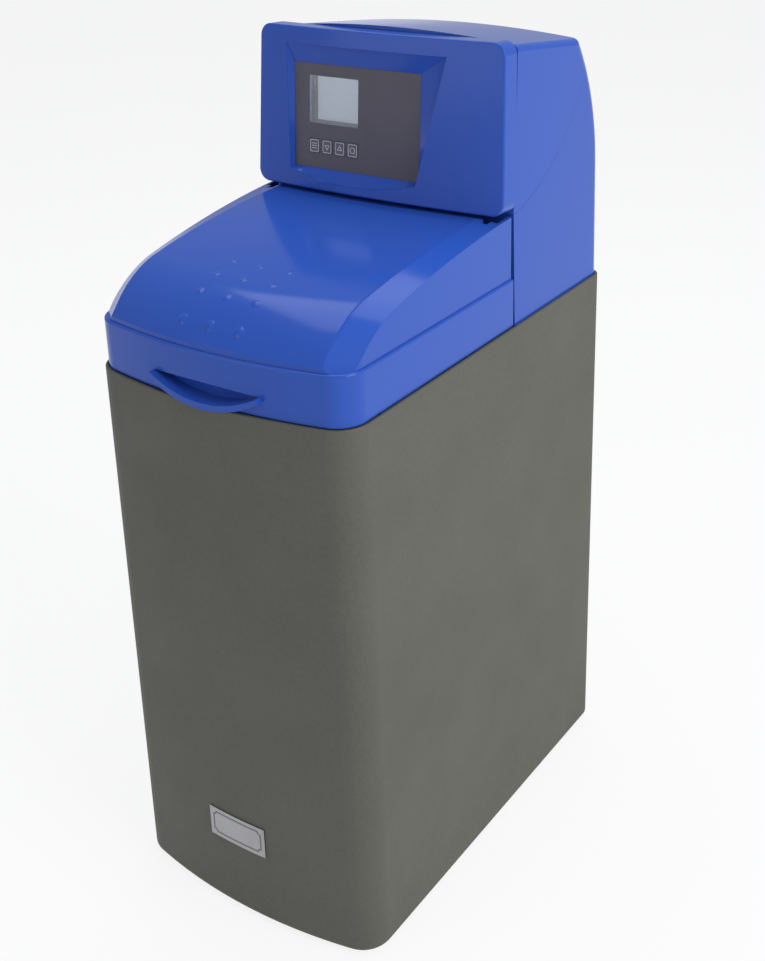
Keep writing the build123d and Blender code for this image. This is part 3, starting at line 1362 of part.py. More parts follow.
# Gear centres: the idler meshes with the main gear, the pinion with the idler's wheel
main_r = GEAR_MODULE * MAIN_TEETH / 2
idler_r = GEAR_MODULE * IDLER_TEETH / 2
pinion_r = GEAR_MODULE * PINION_TEETH / 2
idler_x = (main_r + pinion_r) * cos(radians(IDLER_ANGLE))
idler_z = VALVE_AXIS_Z + (main_r + pinion_r) * sin(radians(IDLER_ANGLE))
motor_x = idler_x + (idler_r + pinion_r) * cos(radians(MOTOR_ANGLE))
motor_z = idler_z + (idler_r + pinion_r) * sin(radians(MOTOR_ANGLE))
plate_front = barrel_front - PLATE_DRIVE_T
wheel_y1 = plate_front - GEAR_GAP
wheel_y0 = wheel_y1 - GEAR_T
small_y1 = wheel_y0 - GEAR_GAP
small_y0 = small_y1 - GEAR_T


def gear(teeth, x, z, y0, y1, phase):
    """Spur gear along Y with rounded involute-like teeth; phase turns one tooth to that angle."""
    pitch_r = GEAR_MODULE * teeth / 2
    tip_r = pitch_r + GEAR_ADDENDUM * GEAR_MODULE
    root_r = pitch_r - GEAR_DEDENDUM * GEAR_MODULE
    pitch_half = pi / (2 * teeth) - MESH_BACKLASH / (2 * pitch_r)
    tip_half = pitch_half * TOOTH_TIP_SHARE
    root_half = pitch_half * TOOTH_ROOT_SHARE
    points = []
    for tooth in range(teeth):
        mid = radians(phase) + 2 * pi * tooth / teeth
        for radius, turn in ((root_r, -root_half), (pitch_r, -pitch_half), (tip_r, -tip_half),
                             (tip_r, tip_half), (pitch_r, pitch_half), (root_r, root_half)):
            points.append((radius * cos(mid + turn), radius * sin(mid + turn)))
    plane = Plane((x, y1, z), x_dir=(1, 0, 0), z_dir=(0, -1, 0))
    with BuildSketch(plane, mode=Mode.PRIVATE) as outline:
        with BuildLine():
            Polyline(*points, close=True)
        make_face()
    return extrude(outline.sketch, amount=y1 - y0, mode=Mode.PRIVATE)


# Phases that put a tooth of one gear opposite a gap of its mate
main_phase = IDLER_ANGLE + 180 / MAIN_TEETH
small_phase = IDLER_ANGLE + 180
pinion_phase = MOTOR_ANGLE + 180 + 180 / PINION_TEETH

# Main gear: toothed rim, spokes and a threaded hub that draws the piston
with BuildPart() as main_gear:
    add(gear(MAIN_TEETH, 0, VALVE_AXIS_Z, small_y0, small_y1, main_phase))
    add(
        cylinder_y(0, VALVE_AXIS_Z, main_r - GEAR_RIM, small_y0 - OVERRUN, small_y1 + OVERRUN),
        mode=Mode.SUBTRACT,
    )
    add(cylinder_y(0, VALVE_AXIS_Z, main_r - GEAR_RIM + FIT, small_y0 + GEAR_WEB, small_y1 - GEAR_WEB))
    with BuildSketch(Plane((0, small_y1 + OVERRUN, VALVE_AXIS_Z), x_dir=(1, 0, 0), z_dir=(0, -1, 0))):
        with PolarLocations(GEAR_HOLE_PITCH_R, GEAR_HOLES):
            Circle(GEAR_HOLE_R)
    extrude(amount=GEAR_T + 2 * OVERRUN, mode=Mode.SUBTRACT)
    add(cylinder_y(0, VALVE_AXIS_Z, MAIN_HUB_R, small_y0, plate_front - FIT))
    add(cylinder_y(0, VALVE_AXIS_Z, MAIN_JOURNAL_R, plate_front - OVERRUN, barrel_front - FIT))
    add(
        cylinder_y(0, VALVE_AXIS_Z, PISTON_ROD_R + RUNNING_FIT, small_y0 - OVERRUN, barrel_front),
        mode=Mode.SUBTRACT,
    )
save(main_gear, "main_gear")

# Idler gear: wheel driven by the motor and small gear that drives the main gear
with BuildPart() as idler_gear:
    add(gear(IDLER_TEETH, idler_x, idler_z, wheel_y0, wheel_y1, MOTOR_ANGLE))
    add(gear(PINION_TEETH, idler_x, idler_z, small_y0, small_y1, small_phase))
    add(cylinder_y(idler_x, idler_z, pinion_r - GEAR_MODULE, small_y0, plate_front - FIT))
    add(
        cylinder_y(idler_x, idler_z, SHAFT_R + RUNNING_FIT, small_y0 - OVERRUN, plate_front + OVERRUN),
        mode=Mode.SUBTRACT,
    )
save(idler_gear, "idler_gear")

# Motor pinion: small gear with a shaft that runs through the plate into the motor
with BuildPart() as motor_pinion:
    add(gear(PINION_TEETH, motor_x, motor_z, wheel_y0, wheel_y1, pinion_phase))
    add(cylinder_y(motor_x, motor_z, SHAFT_R, wheel_y0 - GEAR_GAP, barrel_front + SOCKET_L))
save(motor_pinion, "motor_pinion")

# Idler shaft: fixed pin on the drive plate
with BuildPart() as idler_shaft:
    add(cylinder_y(idler_x, idler_z, SHAFT_R, small_y0 - GEAR_GAP, barrel_front))
save(idler_shaft, "idler_shaft")

# Drive plate: bracket in front of the barrel that carries the gears and the motor
with BuildPart() as drive_plate:
    with BuildSketch(Plane((0, barrel_front, 0), x_dir=(1, 0, 0), z_dir=(0, -1, 0))):
        with BuildLine():
            Polyline(
                (-main_r - PLATE_EDGE, VALVE_AXIS_Z - main_r - PLATE_EDGE),
                (main_r + PLATE_EDGE, VALVE_AXIS_Z - main_r - PLATE_EDGE),
                (motor_x + MOTOR_R + PLATE_EDGE, motor_z - MOTOR_R - PLATE_EDGE),
                (motor_x + MOTOR_R + PLATE_EDGE, idler_z + idler_r + PLATE_EDGE),
                (-main_r - PLATE_EDGE, idler_z + idler_r + PLATE_EDGE),
                (-main_r - PLATE_EDGE, VALVE_AXIS_Z - main_r - PLATE_EDGE),
            )
        make_face()
        fillet(vertices(), PLATE_CORNER_R)
    extrude(amount=PLATE_DRIVE_T)
    add(
        cylinder_y(
            0, VALVE_AXIS_Z, MAIN_JOURNAL_R + RUNNING_FIT, plate_front - OVERRUN, barrel_front + OVERRUN
        ),
        mode=Mode.SUBTRACT,
    )
    add(
        cylinder_y(idler_x, idler_z, SHAFT_R, plate_front - OVERRUN, barrel_front + OVERRUN),
        mode=Mode.SUBTRACT,
    )
    add(cylinder_y(motor_x, motor_z, SHAFT_R + RUNNING_FIT, plate_front - OVERRUN, barrel_front + OVERRUN),
        mode=Mode.SUBTRACT)
save(drive_plate, "drive_plate")

# Drive motor: can behind the plate with a terminal block
with BuildPart() as drive_motor:
    add(cylinder_y(motor_x, motor_z, MOTOR_R, barrel_front, barrel_front + MOTOR_L))
    fillet(drive_motor.edges().group_by(Axis.Y)[-1], MOTOR_ROUND_R)
    add(
        cylinder_y(
            motor_x,
            motor_z,
            MOTOR_R / 3,
            barrel_front + MOTOR_L - MOTOR_ROUND_R,
            barrel_front + MOTOR_L + MOTOR_ROUND_R,
        ),
    )
    add(
        cylinder_y(
            motor_x,
            motor_z,
            SHAFT_R + RUNNING_FIT,
            barrel_front - OVERRUN,
            barrel_front + SOCKET_L + FIT,
        ),
        mode=Mode.SUBTRACT,
    )
save(drive_motor, "drive_motor")


def pipe(points, bend_r, radius):
    """Round bar along a route of straight runs joined by bends, joined to nothing."""
    with BuildPart(mode=Mode.PRIVATE) as run:
        with BuildLine() as route:
            FilletPolyline(*points, radius=bend_r)
        with BuildSketch(Plane(origin=route.line @ 0, z_dir=route.line % 0)):
            Circle(radius)
        sweep()
    return run.part


# Flow turbine: vaned wheel on a spindle in the meter pocket
pocket_x = METER_FACE_X - METER_POCKET_D
turbine_x = (pocket_x + METER_FACE_X) / 2
with BuildPart() as turbine:
    add(cylinder_x(meter_y, PORT_Z, TURBINE_HUB_R, turbine_x - TURBINE_W / 2, turbine_x + TURBINE_W / 2))
    for blade in range(TURBINE_BLADES):
        vane = Box(
            TURBINE_W,
            VANE_T,
            TURBINE_R - VANE_T,
            align=(Align.CENTER, Align.CENTER, Align.MIN),
            mode=Mode.PRIVATE,
        )
        add(Location((turbine_x, meter_y, PORT_Z), (blade * 360 / TURBINE_BLADES, 0, 0)) * vane)
    add(cylinder_x(meter_y, PORT_Z, SHAFT_R, pocket_x + FIT, METER_FACE_X + METER_COVER_T / 2))
save(turbine, "turbine")

# Meter cover: cap on the meter housing that carries the spindle's outer end
with BuildPart() as meter_cover:
    add(cylinder_x(meter_y, PORT_Z, METER_R, METER_FACE_X, METER_FACE_X + METER_COVER_T))
    fillet(meter_cover.edges().group_by(Axis.X)[-1], SEAM)
    add(
        cylinder_x(
            meter_y,
            PORT_Z,
            SHAFT_R + RUNNING_FIT,
            METER_FACE_X - OVERRUN,
            METER_FACE_X + METER_COVER_T / 2 + FIT,
        ),
        mode=Mode.SUBTRACT,
    )
save(meter_cover, "meter_cover")

# Injector cap: fluted cap over the injector boss
with BuildPart() as injector_cap:
    add(cylinder_z(0, injector_y, INJECTOR_R, INJECTOR_CAP_Z, INJECTOR_TOP_Z + CAP_T + FIT))
    fillet(injector_cap.edges().group_by(Axis.Z)[-1], SEAM)
    with BuildSketch(Plane.XY.offset(INJECTOR_CAP_Z - OVERRUN)):
        with Locations((0, injector_y)):
            with PolarLocations(INJECTOR_R + FLUTE_R / 2, FLUTES):
                Circle(FLUTE_R)
    extrude(amount=CABINET_W, mode=Mode.SUBTRACT)
    add(
        cylinder_z(
            0, injector_y, INJECTOR_BOSS_R + FIT, INJECTOR_CAP_Z - OVERRUN, INJECTOR_TOP_Z + FIT
        ),
        mode=Mode.SUBTRACT,
    )
save(injector_cap, "injector_cap")

tail_end = -FRONT + lip_reach
# Drain elbow: bent spout from the drain boss out through the service cut-out, with a barbed end
with BuildPart() as drain_elbow:
    drain_route = [
        (DRAIN_X, drain_y, DRAIN_BOSS_TOP - SOCKET_L + FIT),
        (DRAIN_X, drain_y, DRAIN_Z),
        (DRAIN_X, tail_end, DRAIN_Z),
    ]
    add(pipe(drain_route, DRAIN_BEND_R, BARB_R - SEAM))
    add(cylinder_z(DRAIN_X, drain_y, BARB_R, DRAIN_BOSS_TOP - SOCKET_L + FIT, DRAIN_BOSS_TOP - FIT))
    add(cylinder_z(DRAIN_X, drain_y, DRAIN_BOSS_R, DRAIN_BOSS_TOP, DRAIN_BOSS_TOP + FLANGE_RING_T))
    for barb in range(BARBS):
        y1 = tail_end - barb * BARB_PITCH
        plane = Plane((DRAIN_X, y1, DRAIN_Z), x_dir=(1, 0, 0), z_dir=(0, -1, 0))
        with BuildSketch(plane) as small:
            Circle(BARB_R - SEAM)
        with BuildSketch(plane.offset(BARB_PITCH * BARB_SHARE)) as large:
            Circle(BARB_R)
        loft(ruled=True)
    with BuildPart(mode=Mode.SUBTRACT):
        ends = [
            (DRAIN_X, drain_y, DRAIN_BOSS_TOP - SOCKET_L - OVERRUN),
            (DRAIN_X, drain_y, DRAIN_Z),
            (DRAIN_X, tail_end + OVERRUN, DRAIN_Z),
        ]
        add(pipe(ends, DRAIN_BEND_R, ELBOW_BORE_R))
save(drain_elbow, "drain_elbow")

# Brine elbow: side spout that turns down to the brine tube
elbow_low = BRINE_Z - ELBOW_DROP
with BuildPart() as brine_elbow:
    elbow_start = (BRINE_BOSS_X + SOCKET_L - FIT, brine_y, BRINE_Z)
    add(pipe([elbow_start, (TUBE_X, brine_y, BRINE_Z), (TUBE_X, brine_y, elbow_low)], ELBOW_BEND_R, TUBE_R))
    add(cylinder_z(TUBE_X, brine_y, ELBOW_R, elbow_low, elbow_low + ELBOW_NUT_H))
    add(cylinder_x(brine_y, BRINE_Z, ELBOW_R - SEAM, BRINE_BOSS_X - FLANGE_RING_T, BRINE_BOSS_X - FIT))
    route = [
        (elbow_start[0] + OVERRUN, brine_y, BRINE_Z),
        (TUBE_X, brine_y, BRINE_Z),
        (TUBE_X, brine_y, elbow_low - OVERRUN),
    ]
    add(pipe(route, ELBOW_BEND_R, TUBE_BORE_R), mode=Mode.SUBTRACT)
    add(
        cylinder_z(TUBE_X, brine_y, TUBE_R + FIT, elbow_low - OVERRUN, elbow_low + SOCKET_L),
        mode=Mode.SUBTRACT,
    )
save(brine_elbow, "brine_elbow")

# Brine tube: bent tube from the elbow, through the deck and down to the valve in the brine well
well_y = FRONT + WELL_D
tube_z = BRINE_VALVE_Z + BRINE_VALVE_H / 2
tube_points = [
    (TUBE_X, brine_y, elbow_low + SOCKET_L - FIT),
    (TUBE_X, brine_y, TUBE_BEND_Z),
    (WELL_X + (TUBE_X - WELL_X) * TUBE_SWAY_SHARE, FRONT + TUBE_MID_D, tube_z + TUBE_MID_RISE),
    (WELL_X, FRONT + TUBE_LOW_D, tube_z),
    (WELL_X, well_y + BRINE_VALVE_R + FIT, tube_z),
]
with BuildPart() as brine_tube:
    add(pipe(tube_points, TUBE_BEND_R, TUBE_R))
    add(pipe(tube_points, TUBE_BEND_R, TUBE_BORE_R), mode=Mode.SUBTRACT)
save(brine_tube, "brine_tube")

# Port couplers: two short tubes that join the valve's ports to the bypass
bypass_front = FRONT + TANK_D + PORT_REAR + BYPASS_GAP
bypass_y = bypass_front + BYPASS_L / 2
bypass_rear = bypass_front + BYPASS_L
with BuildPart() as port_couplers:
    for side in (-1, 1):
        y0, y1 = port_front + FIT, bypass_front + COUPLER_DEPTH - FIT
        add(cylinder_y(side * PORT_X, PORT_Z, PORT_BORE_R - FIT, y0, y1))
        add(
            cylinder_y(side * PORT_X, PORT_Z, COUPLER_BORE_R, y0 - OVERRUN, y1 + OVERRUN),
            mode=Mode.SUBTRACT,
        )
save(port_couplers, "port_couplers")

# Port clips: open rings that lock the bypass to the ports
with BuildPart() as port_clips:
    for side in (-1, 1):
        y0, y1 = port_rear - CLIP_L, port_rear - FIT
        add(cylinder_y(side * PORT_X, PORT_Z, PORT_R + CLIP_T, y0, bypass_front - FIT))
        add(
            cylinder_y(side * PORT_X, PORT_Z, PORT_R + FIT, y0 - OVERRUN, bypass_front + OVERRUN),
            mode=Mode.SUBTRACT,
        )
        add(
            slab(
                side * PORT_X - CLIP_OPEN / 2,
                side * PORT_X + CLIP_OPEN / 2,
                y0 - OVERRUN,
                bypass_front,
                0,
                PORT_Z,
            ),
            mode=Mode.SUBTRACT,
        )
save(port_clips, "port_clips")

# Bypass body: two ports with upright rotor bores, joined by a cross tube
rotor_low = PORT_Z - ROTOR_DEPTH
boss_top = PORT_Z + ROTOR_BOSS_H
with BuildPart() as bypass_body:
    add(cylinder_x(bypass_y, PORT_Z, BYPASS_CROSS_R, -PORT_X, PORT_X))
    for side in (-1, 1):
        add(cylinder_y(side * PORT_X, PORT_Z, BYPASS_R, bypass_front, bypass_rear))
        add(cylinder_z(side * PORT_X, bypass_y, ROTOR_R + BYPASS_WALL, PORT_Z, boss_top))
        add(cylinder_y(side * PORT_X, PORT_Z, PORT_R, bypass_rear, bypass_rear + STUB_L))
    add(cylinder_x(bypass_y, PORT_Z, TAIL_BORE_R - SEAM, -PORT_X, PORT_X), mode=Mode.SUBTRACT)
    for side in (-1, 1):
        add(
            cylinder_y(
                side * PORT_X,
                PORT_Z,
                PORT_BORE_R,
                bypass_front - OVERRUN,
                bypass_rear + STUB_L + OVERRUN,
            ),
            mode=Mode.SUBTRACT,
        )
        add(
            cylinder_z(side * PORT_X, bypass_y, ROTOR_R + RUNNING_FIT, rotor_low, boss_top + OVERRUN),
            mode=Mode.SUBTRACT,
        )
save(bypass_body, "bypass_body")

# Bypass knobs: rotor with a cross hole, a round head and a lever, one for each port
for name, side in (("inlet", 1), ("outlet", -1)):
    x = side * PORT_X
    with BuildPart() as knob:
        add(cylinder_z(x, bypass_y, ROTOR_R, rotor_low + FIT, boss_top + FIT))
        add(cylinder_z(x, bypass_y, KNOB_R, boss_top + FIT, boss_top + FIT + KNOB_H))
        fillet(knob.edges().group_by(Axis.Z)[-1], SEAM)
        y0, y1 = sorted((bypass_y, bypass_y - LEVER_L))
        add(
            slab(
                x - LEVER_W / 2,
                x + LEVER_W / 2,
                y0,
                y1,
                boss_top + FIT + SEAM,
                boss_top + FIT + KNOB_H - SEAM,
            ),
        )
        add(
            cylinder_z(
                x,
                bypass_y - LEVER_L,
                LEVER_W / 2,
                boss_top + FIT + SEAM,
                boss_top + FIT + KNOB_H - SEAM,
            ),
        )
        add(cylinder_y(x, PORT_Z, ROTOR_HOLE_R, bypass_front, bypass_rear), mode=Mode.SUBTRACT)
    save(knob, f"bypass_knob_{name}")

# Union nuts: ribbed nuts that draw the tails onto the bypass
stub_end = bypass_rear + STUB_L
nut_rear = bypass_rear + FIT + NUT_L
with BuildPart() as union_nuts:
    for side in (-1, 1):
        x = side * PORT_X
        with BuildSketch(Plane((x, nut_rear, PORT_Z), x_dir=(1, 0, 0), z_dir=(0, -1, 0))):
            Circle(NUT_R)
            with PolarLocations(NUT_R + FLUTE_R / 2, 2 * FLUTES):
                Circle(FLUTE_R, mode=Mode.SUBTRACT)
        extrude(amount=NUT_L)
        add(cylinder_y(x, PORT_Z, PORT_R + FIT, bypass_rear, nut_rear - NUT_WALL), mode=Mode.SUBTRACT)
        add(cylinder_y(x, PORT_Z, TAIL_R + FIT, bypass_rear, nut_rear + OVERRUN), mode=Mode.SUBTRACT)
save(union_nuts, "union_nuts")

# Port tails: flanged pipe ends for the house's plumbing
for name, side in (("inlet", 1), ("outlet", -1)):
    x = side * PORT_X
    with BuildPart() as tail:
        add(cylinder_y(x, PORT_Z, PORT_R, stub_end, nut_rear - NUT_WALL - FIT))
        add(cylinder_y(x, PORT_Z, TAIL_NECK_R, stub_end, nut_rear + SEAM))
        add(cylinder_y(x, PORT_Z, TAIL_R, nut_rear + SEAM, tail_end))
        chamfer(tail.edges().group_by(Axis.Y)[-1], SEAM)
        add(cylinder_y(x, PORT_Z, TAIL_BORE_R, stub_end - OVERRUN, tail_end + OVERRUN), mode=Mode.SUBTRACT)
    save(tail, f"port_tail_{name}")

# Brine well: round well with slots near its foot and a passage for the tube
with BuildPart() as brine_well:
    add(cylinder_z(WELL_X, well_y, WELL_R, FLOOR_Z, WELL_TOP))
    add(
        cylinder_z(WELL_X, well_y, WELL_R - WELL_WALL, FLOOR_Z + WELL_WALL, WELL_TOP + OVERRUN),
        mode=Mode.SUBTRACT,
    )
    for turn in range(WELL_SLOTS):
        cut = Box(
            WELL_R + OVERRUN,
            WELL_SLOT_W,
            WELL_SLOT_H,
            align=(Align.MIN, Align.CENTER, Align.MIN),
            mode=Mode.PRIVATE,
        )
        add(
            Location((WELL_X, well_y, FLOOR_Z + WELL_SLOT_Z), (0, 0, turn * 360 / WELL_SLOTS)) * cut,
            mode=Mode.SUBTRACT,
        )
    add(cylinder_y(WELL_X, tube_z, TUBE_R + FIT, well_y, well_y + WELL_R + OVERRUN), mode=Mode.SUBTRACT)
    for side in (-1, 1):
        web_y = well_y + side * (BRINE_VALVE_R - WELL_WALL)
        web_x = sqrt((WELL_R - WELL_WALL / 2) ** 2 - BRINE_VALVE_R**2)
        add(slab(WELL_X - web_x, WELL_X + web_x, web_y - WELL_WALL / 2, web_y + WELL_WALL / 2,
                 BRINE_VALVE_Z - 2 * WELL_WALL, BRINE_VALVE_Z))
save(brine_well, "brine_well")

# Brine well cap: lift-off cap over the well
with BuildPart() as brine_well_cap:
    add(cylinder_z(WELL_X, well_y, WELL_R + FIT + CAP_T, WELL_TOP - CAP_H, WELL_TOP + CAP_T))
    fillet(brine_well_cap.edges().group_by(Axis.Z)[-1], SEAM)
    add(
        cylinder_z(WELL_X, well_y, WELL_R + FIT, WELL_TOP - CAP_H - OVERRUN, WELL_TOP + FIT / 2),
        mode=Mode.SUBTRACT,
    )
    add(cylinder_z(WELL_X, well_y, CAP_GRIP_R, WELL_TOP, WELL_TOP + CAP_T + CAP_GRIP_H))
save(brine_well_cap, "brine_well_cap")

# Brine valve: body in the well with a nipple for the tube, a pickup tube and a seat for the float rod
pickup_y = well_y - PICKUP_OFFSET
with BuildPart() as brine_valve:
    add(cylinder_z(WELL_X, well_y, BRINE_VALVE_R, BRINE_VALVE_Z, BRINE_VALVE_Z + BRINE_VALVE_H))
    add(slab(WELL_X - PICKUP_R, WELL_X + PICKUP_R, pickup_y, well_y, BRINE_VALVE_Z + BRINE_VALVE_R,
             BRINE_VALVE_Z + BRINE_VALVE_R + 2 * PICKUP_R))
    add(
        cylinder_z(
            WELL_X,
            pickup_y,
            PICKUP_R,
            AIR_CHECK_TOP - SOCKET_L,
            BRINE_VALVE_Z + BRINE_VALVE_R + 2 * PICKUP_R,
        ),
    )
    add(cylinder_y(WELL_X, tube_z, NIPPLE_R, well_y, well_y + BRINE_VALVE_R + NIPPLE_L))
    add(
        cylinder_y(WELL_X, tube_z, TUBE_R + FIT, well_y + BRINE_VALVE_R, well_y + WELL_R),
        mode=Mode.SUBTRACT,
    )
    add(
        cylinder_z(
            WELL_X, well_y, ROD_R + ROD_FIT, BRINE_VALVE_Z - OVERRUN, BRINE_VALVE_Z + ROD_SOCKET
        ),
        mode=Mode.SUBTRACT,
    )
save(brine_valve, "brine_valve")

# Air check: float ball housing at the foot of the pickup tube
with BuildPart() as air_check:
    add(cylinder_z(WELL_X, pickup_y, AIR_CHECK_R, FLOOR_Z + WELL_WALL, AIR_CHECK_TOP))
    fillet(air_check.edges().group_by(Axis.Z)[-1], SEAM)
    add(
        cylinder_z(
            WELL_X,
            pickup_y,
            AIR_CHECK_R - CAP_T,
            FLOOR_Z + 2 * WELL_WALL,
            AIR_CHECK_TOP - SOCKET_L - CAP_T,
        ),
        mode=Mode.SUBTRACT,
    )
    add(
        cylinder_z(
            WELL_X, pickup_y, PICKUP_R + FIT, AIR_CHECK_TOP - SOCKET_L - FIT, AIR_CHECK_TOP + OVERRUN
        ),
        mode=Mode.SUBTRACT,
    )
    add(
        slab(
            WELL_X - WELL_R,
            WELL_X + WELL_R,
            pickup_y - CAP_T / 2,
            pickup_y + CAP_T / 2,
            FLOOR_Z + 3 * WELL_WALL,
            FLOOR_Z + AIR_CHECK_SLOT_H,
        ),
        mode=Mode.SUBTRACT,
    )
save(air_check, "air_check")

# Float: sealed cylinder on a rod that rises into the brine valve
with BuildPart() as brine_float:
    add(cylinder_z(WELL_X, well_y, FLOAT_R, FLOAT_Z, FLOAT_Z + FLOAT_H))
    fillet(brine_float.edges(), FLOAT_ROUND_R)
    add(cylinder_z(WELL_X, well_y, ROD_R, FLOAT_Z - FLOAT_H, BRINE_VALVE_Z + FLOAT_TRAVEL / 2))
    for z in (FLOAT_Z - FLOAT_STOP_H, FLOAT_Z + FLOAT_H):
        add(cylinder_z(WELL_X, well_y, 2 * ROD_R, z, z + FLOAT_STOP_H))
save(brine_float, "float")

# Rod guide: spoked ring low in the well that keeps the float's rod upright
with BuildPart() as rod_guide:
    guide_z = FLOAT_Z - FLOAT_STOP_H - FIT - GUIDE_T
    add(cylinder_z(WELL_X, well_y, WELL_R - WELL_WALL - FIT, guide_z, guide_z + GUIDE_T))
    with BuildSketch(Plane.XY.offset(guide_z - OVERRUN)):
        with Locations((WELL_X, well_y)):
            with PolarLocations(GUIDE_HOLE_PITCH_R, GUIDE_HOLES, start_angle=45):
                Circle(GUIDE_HOLE_R)
            Circle(ROD_R + ROD_FIT)
        with Locations((WELL_X, pickup_y)):
            Circle(PICKUP_R + FIT)
    extrude(amount=GUIDE_T + 2 * OVERRUN, mode=Mode.SUBTRACT)
save(rod_guide, "rod_guide")

# Salt platform: slotted grid on legs that holds the salt clear of the floor
platform_low = PLATFORM_Z - PLATFORM_T
with BuildPart() as salt_platform:
    extrude(bowed_outline(platform_low, inset=CABINET_WALL + PLATFORM_GAP), amount=PLATFORM_T)
    add(slab(-CABINET_W, PLATFORM_LEFT, FRONT - OVERRUN, REAR, 0, PLATFORM_Z + OVERRUN), mode=Mode.SUBTRACT)
    add(
        slab(-CABINET_W, CABINET_W, FRONT + PLATFORM_REAR_D, REAR + OVERRUN, 0, PLATFORM_Z + OVERRUN),
        mode=Mode.SUBTRACT,
    )
    add(cylinder_z(WELL_X, well_y, WELL_R + PLATFORM_GAP, 0, PLATFORM_Z + OVERRUN), mode=Mode.SUBTRACT)
    with BuildSketch(Plane.XY.offset(PLATFORM_Z + OVERRUN)):
        with Locations(((PLATFORM_LEFT + HALF_W - CABINET_WALL) / 2, FRONT + PLATFORM_SLOT_D)):
            with GridLocations(
                PLATFORM_SLOT_PITCH,
                PLATFORM_SLOT_L + PLATFORM_SLOT_PITCH,
                PLATFORM_SLOT_COLUMNS,
                PLATFORM_SLOT_ROWS,
            ):
                SlotOverall(PLATFORM_SLOT_L, PLATFORM_SLOT_W, rotation=90)
    extrude(amount=-(PLATFORM_T + 2 * OVERRUN), mode=Mode.SUBTRACT)
    with BuildSketch(Plane.XY.offset(FLOOR_Z)):
        with Locations(*[(x, FRONT + d) for x in PLATFORM_LEG_XS for d in PLATFORM_LEG_DS]):
            Circle(PLATFORM_LEG_R)
            Circle(PLATFORM_LEG_R - CAP_T, mode=Mode.SUBTRACT)
    extrude(amount=platform_low + FIT - FLOOR_Z)
save(salt_platform, "salt_platform")

# Overflow elbow: spigot through the rear wall with a turned-down intake inside
overflow_inner = REAR - CABINET_WALL
thread_end = REAR + FIT + OVERFLOW_NUT_L + SEAM
with BuildPart() as overflow_elbow:
    route = [(OVERFLOW_X, overflow_inner - OVERFLOW_REACH, OVERFLOW_Z - OVERFLOW_DROP),
             (OVERFLOW_X, overflow_inner - OVERFLOW_REACH, OVERFLOW_Z), (OVERFLOW_X, thread_end, OVERFLOW_Z)]
    add(pipe(route, OVERFLOW_BEND_R, OVERFLOW_R))
    add(cylinder_y(OVERFLOW_X, OVERFLOW_Z, SPIGOT_R, thread_end, tail_end))
    add(
        cylinder_y(
            OVERFLOW_X,
            OVERFLOW_Z,
            OVERFLOW_R + OVERFLOW_RING,
            overflow_inner - FLANGE_RING_T,
            overflow_inner - FIT,
        ),
    )
    low, rear = OVERFLOW_Z - OVERFLOW_DROP - OVERRUN, tail_end + OVERRUN
    route = [
        (OVERFLOW_X, overflow_inner - OVERFLOW_REACH, low),
        (OVERFLOW_X, overflow_inner - OVERFLOW_REACH, OVERFLOW_Z),
        (OVERFLOW_X, rear, OVERFLOW_Z),
    ]
    add(pipe(route, OVERFLOW_BEND_R, OVERFLOW_BORE_R), mode=Mode.SUBTRACT)
save(overflow_elbow, "overflow_elbow")

# Overflow nut: ring nut that holds the elbow from outside
with BuildPart() as overflow_nut:
    with BuildSketch(Plane((0, REAR + FIT, 0), x_dir=(1, 0, 0), z_dir=(0, -1, 0))):
        with Locations((OVERFLOW_X, OVERFLOW_Z)):
            RegularPolygon(OVERFLOW_R + OVERFLOW_RING, 6)
            Circle(OVERFLOW_R + FIT / 2, mode=Mode.SUBTRACT)
    extrude(amount=-OVERFLOW_NUT_L)
save(overflow_nut, "overflow_nut")
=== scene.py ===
"""Looks of a slim cabinet water softener, built round its packed construction model.

Lengths are in metres. X runs to the right as seen from the front, Y runs from the front to the
rear and Z runs up. The origin lies on the floor, in the middle of the plan.
"""

import json
import logging
from dataclasses import dataclass
from enum import Enum
from math import cos, pi, radians, sin

import bpy
from mathutils import Matrix, Vector

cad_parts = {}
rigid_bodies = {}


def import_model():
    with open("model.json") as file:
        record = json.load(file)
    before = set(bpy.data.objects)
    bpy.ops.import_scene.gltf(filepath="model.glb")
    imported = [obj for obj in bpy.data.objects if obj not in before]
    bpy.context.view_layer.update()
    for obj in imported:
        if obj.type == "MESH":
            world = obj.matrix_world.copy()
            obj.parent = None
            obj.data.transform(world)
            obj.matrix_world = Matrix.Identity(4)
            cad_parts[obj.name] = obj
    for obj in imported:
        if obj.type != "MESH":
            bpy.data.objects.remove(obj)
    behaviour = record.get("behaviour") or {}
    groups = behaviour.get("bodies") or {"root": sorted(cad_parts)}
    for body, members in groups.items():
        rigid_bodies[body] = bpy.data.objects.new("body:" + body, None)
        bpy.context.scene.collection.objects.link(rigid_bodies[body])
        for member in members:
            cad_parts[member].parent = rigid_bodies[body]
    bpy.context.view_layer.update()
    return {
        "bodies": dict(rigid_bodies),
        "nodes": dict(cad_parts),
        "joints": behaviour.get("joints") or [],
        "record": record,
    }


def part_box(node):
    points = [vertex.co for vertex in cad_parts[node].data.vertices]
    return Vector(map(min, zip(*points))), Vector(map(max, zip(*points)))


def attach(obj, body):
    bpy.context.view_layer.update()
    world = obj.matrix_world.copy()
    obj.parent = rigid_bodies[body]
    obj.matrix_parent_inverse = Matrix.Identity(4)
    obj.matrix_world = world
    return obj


log = logging.getLogger("softener")

Colour = tuple[float, float, float]
Point = tuple[float, float, float]
Size = tuple[float, float, float]
Pair = tuple[float, float]

# One millimetre, and a length that counts as none.
MM = 0.001
TINY = 1e-6

# Curve between the colours of a screen and linear colours.
SCREEN_KNEE, SCREEN_SLOPE = 0.04045, 12.92
SCREEN_OFFSET, SCREEN_POWER = 0.055, 2.4

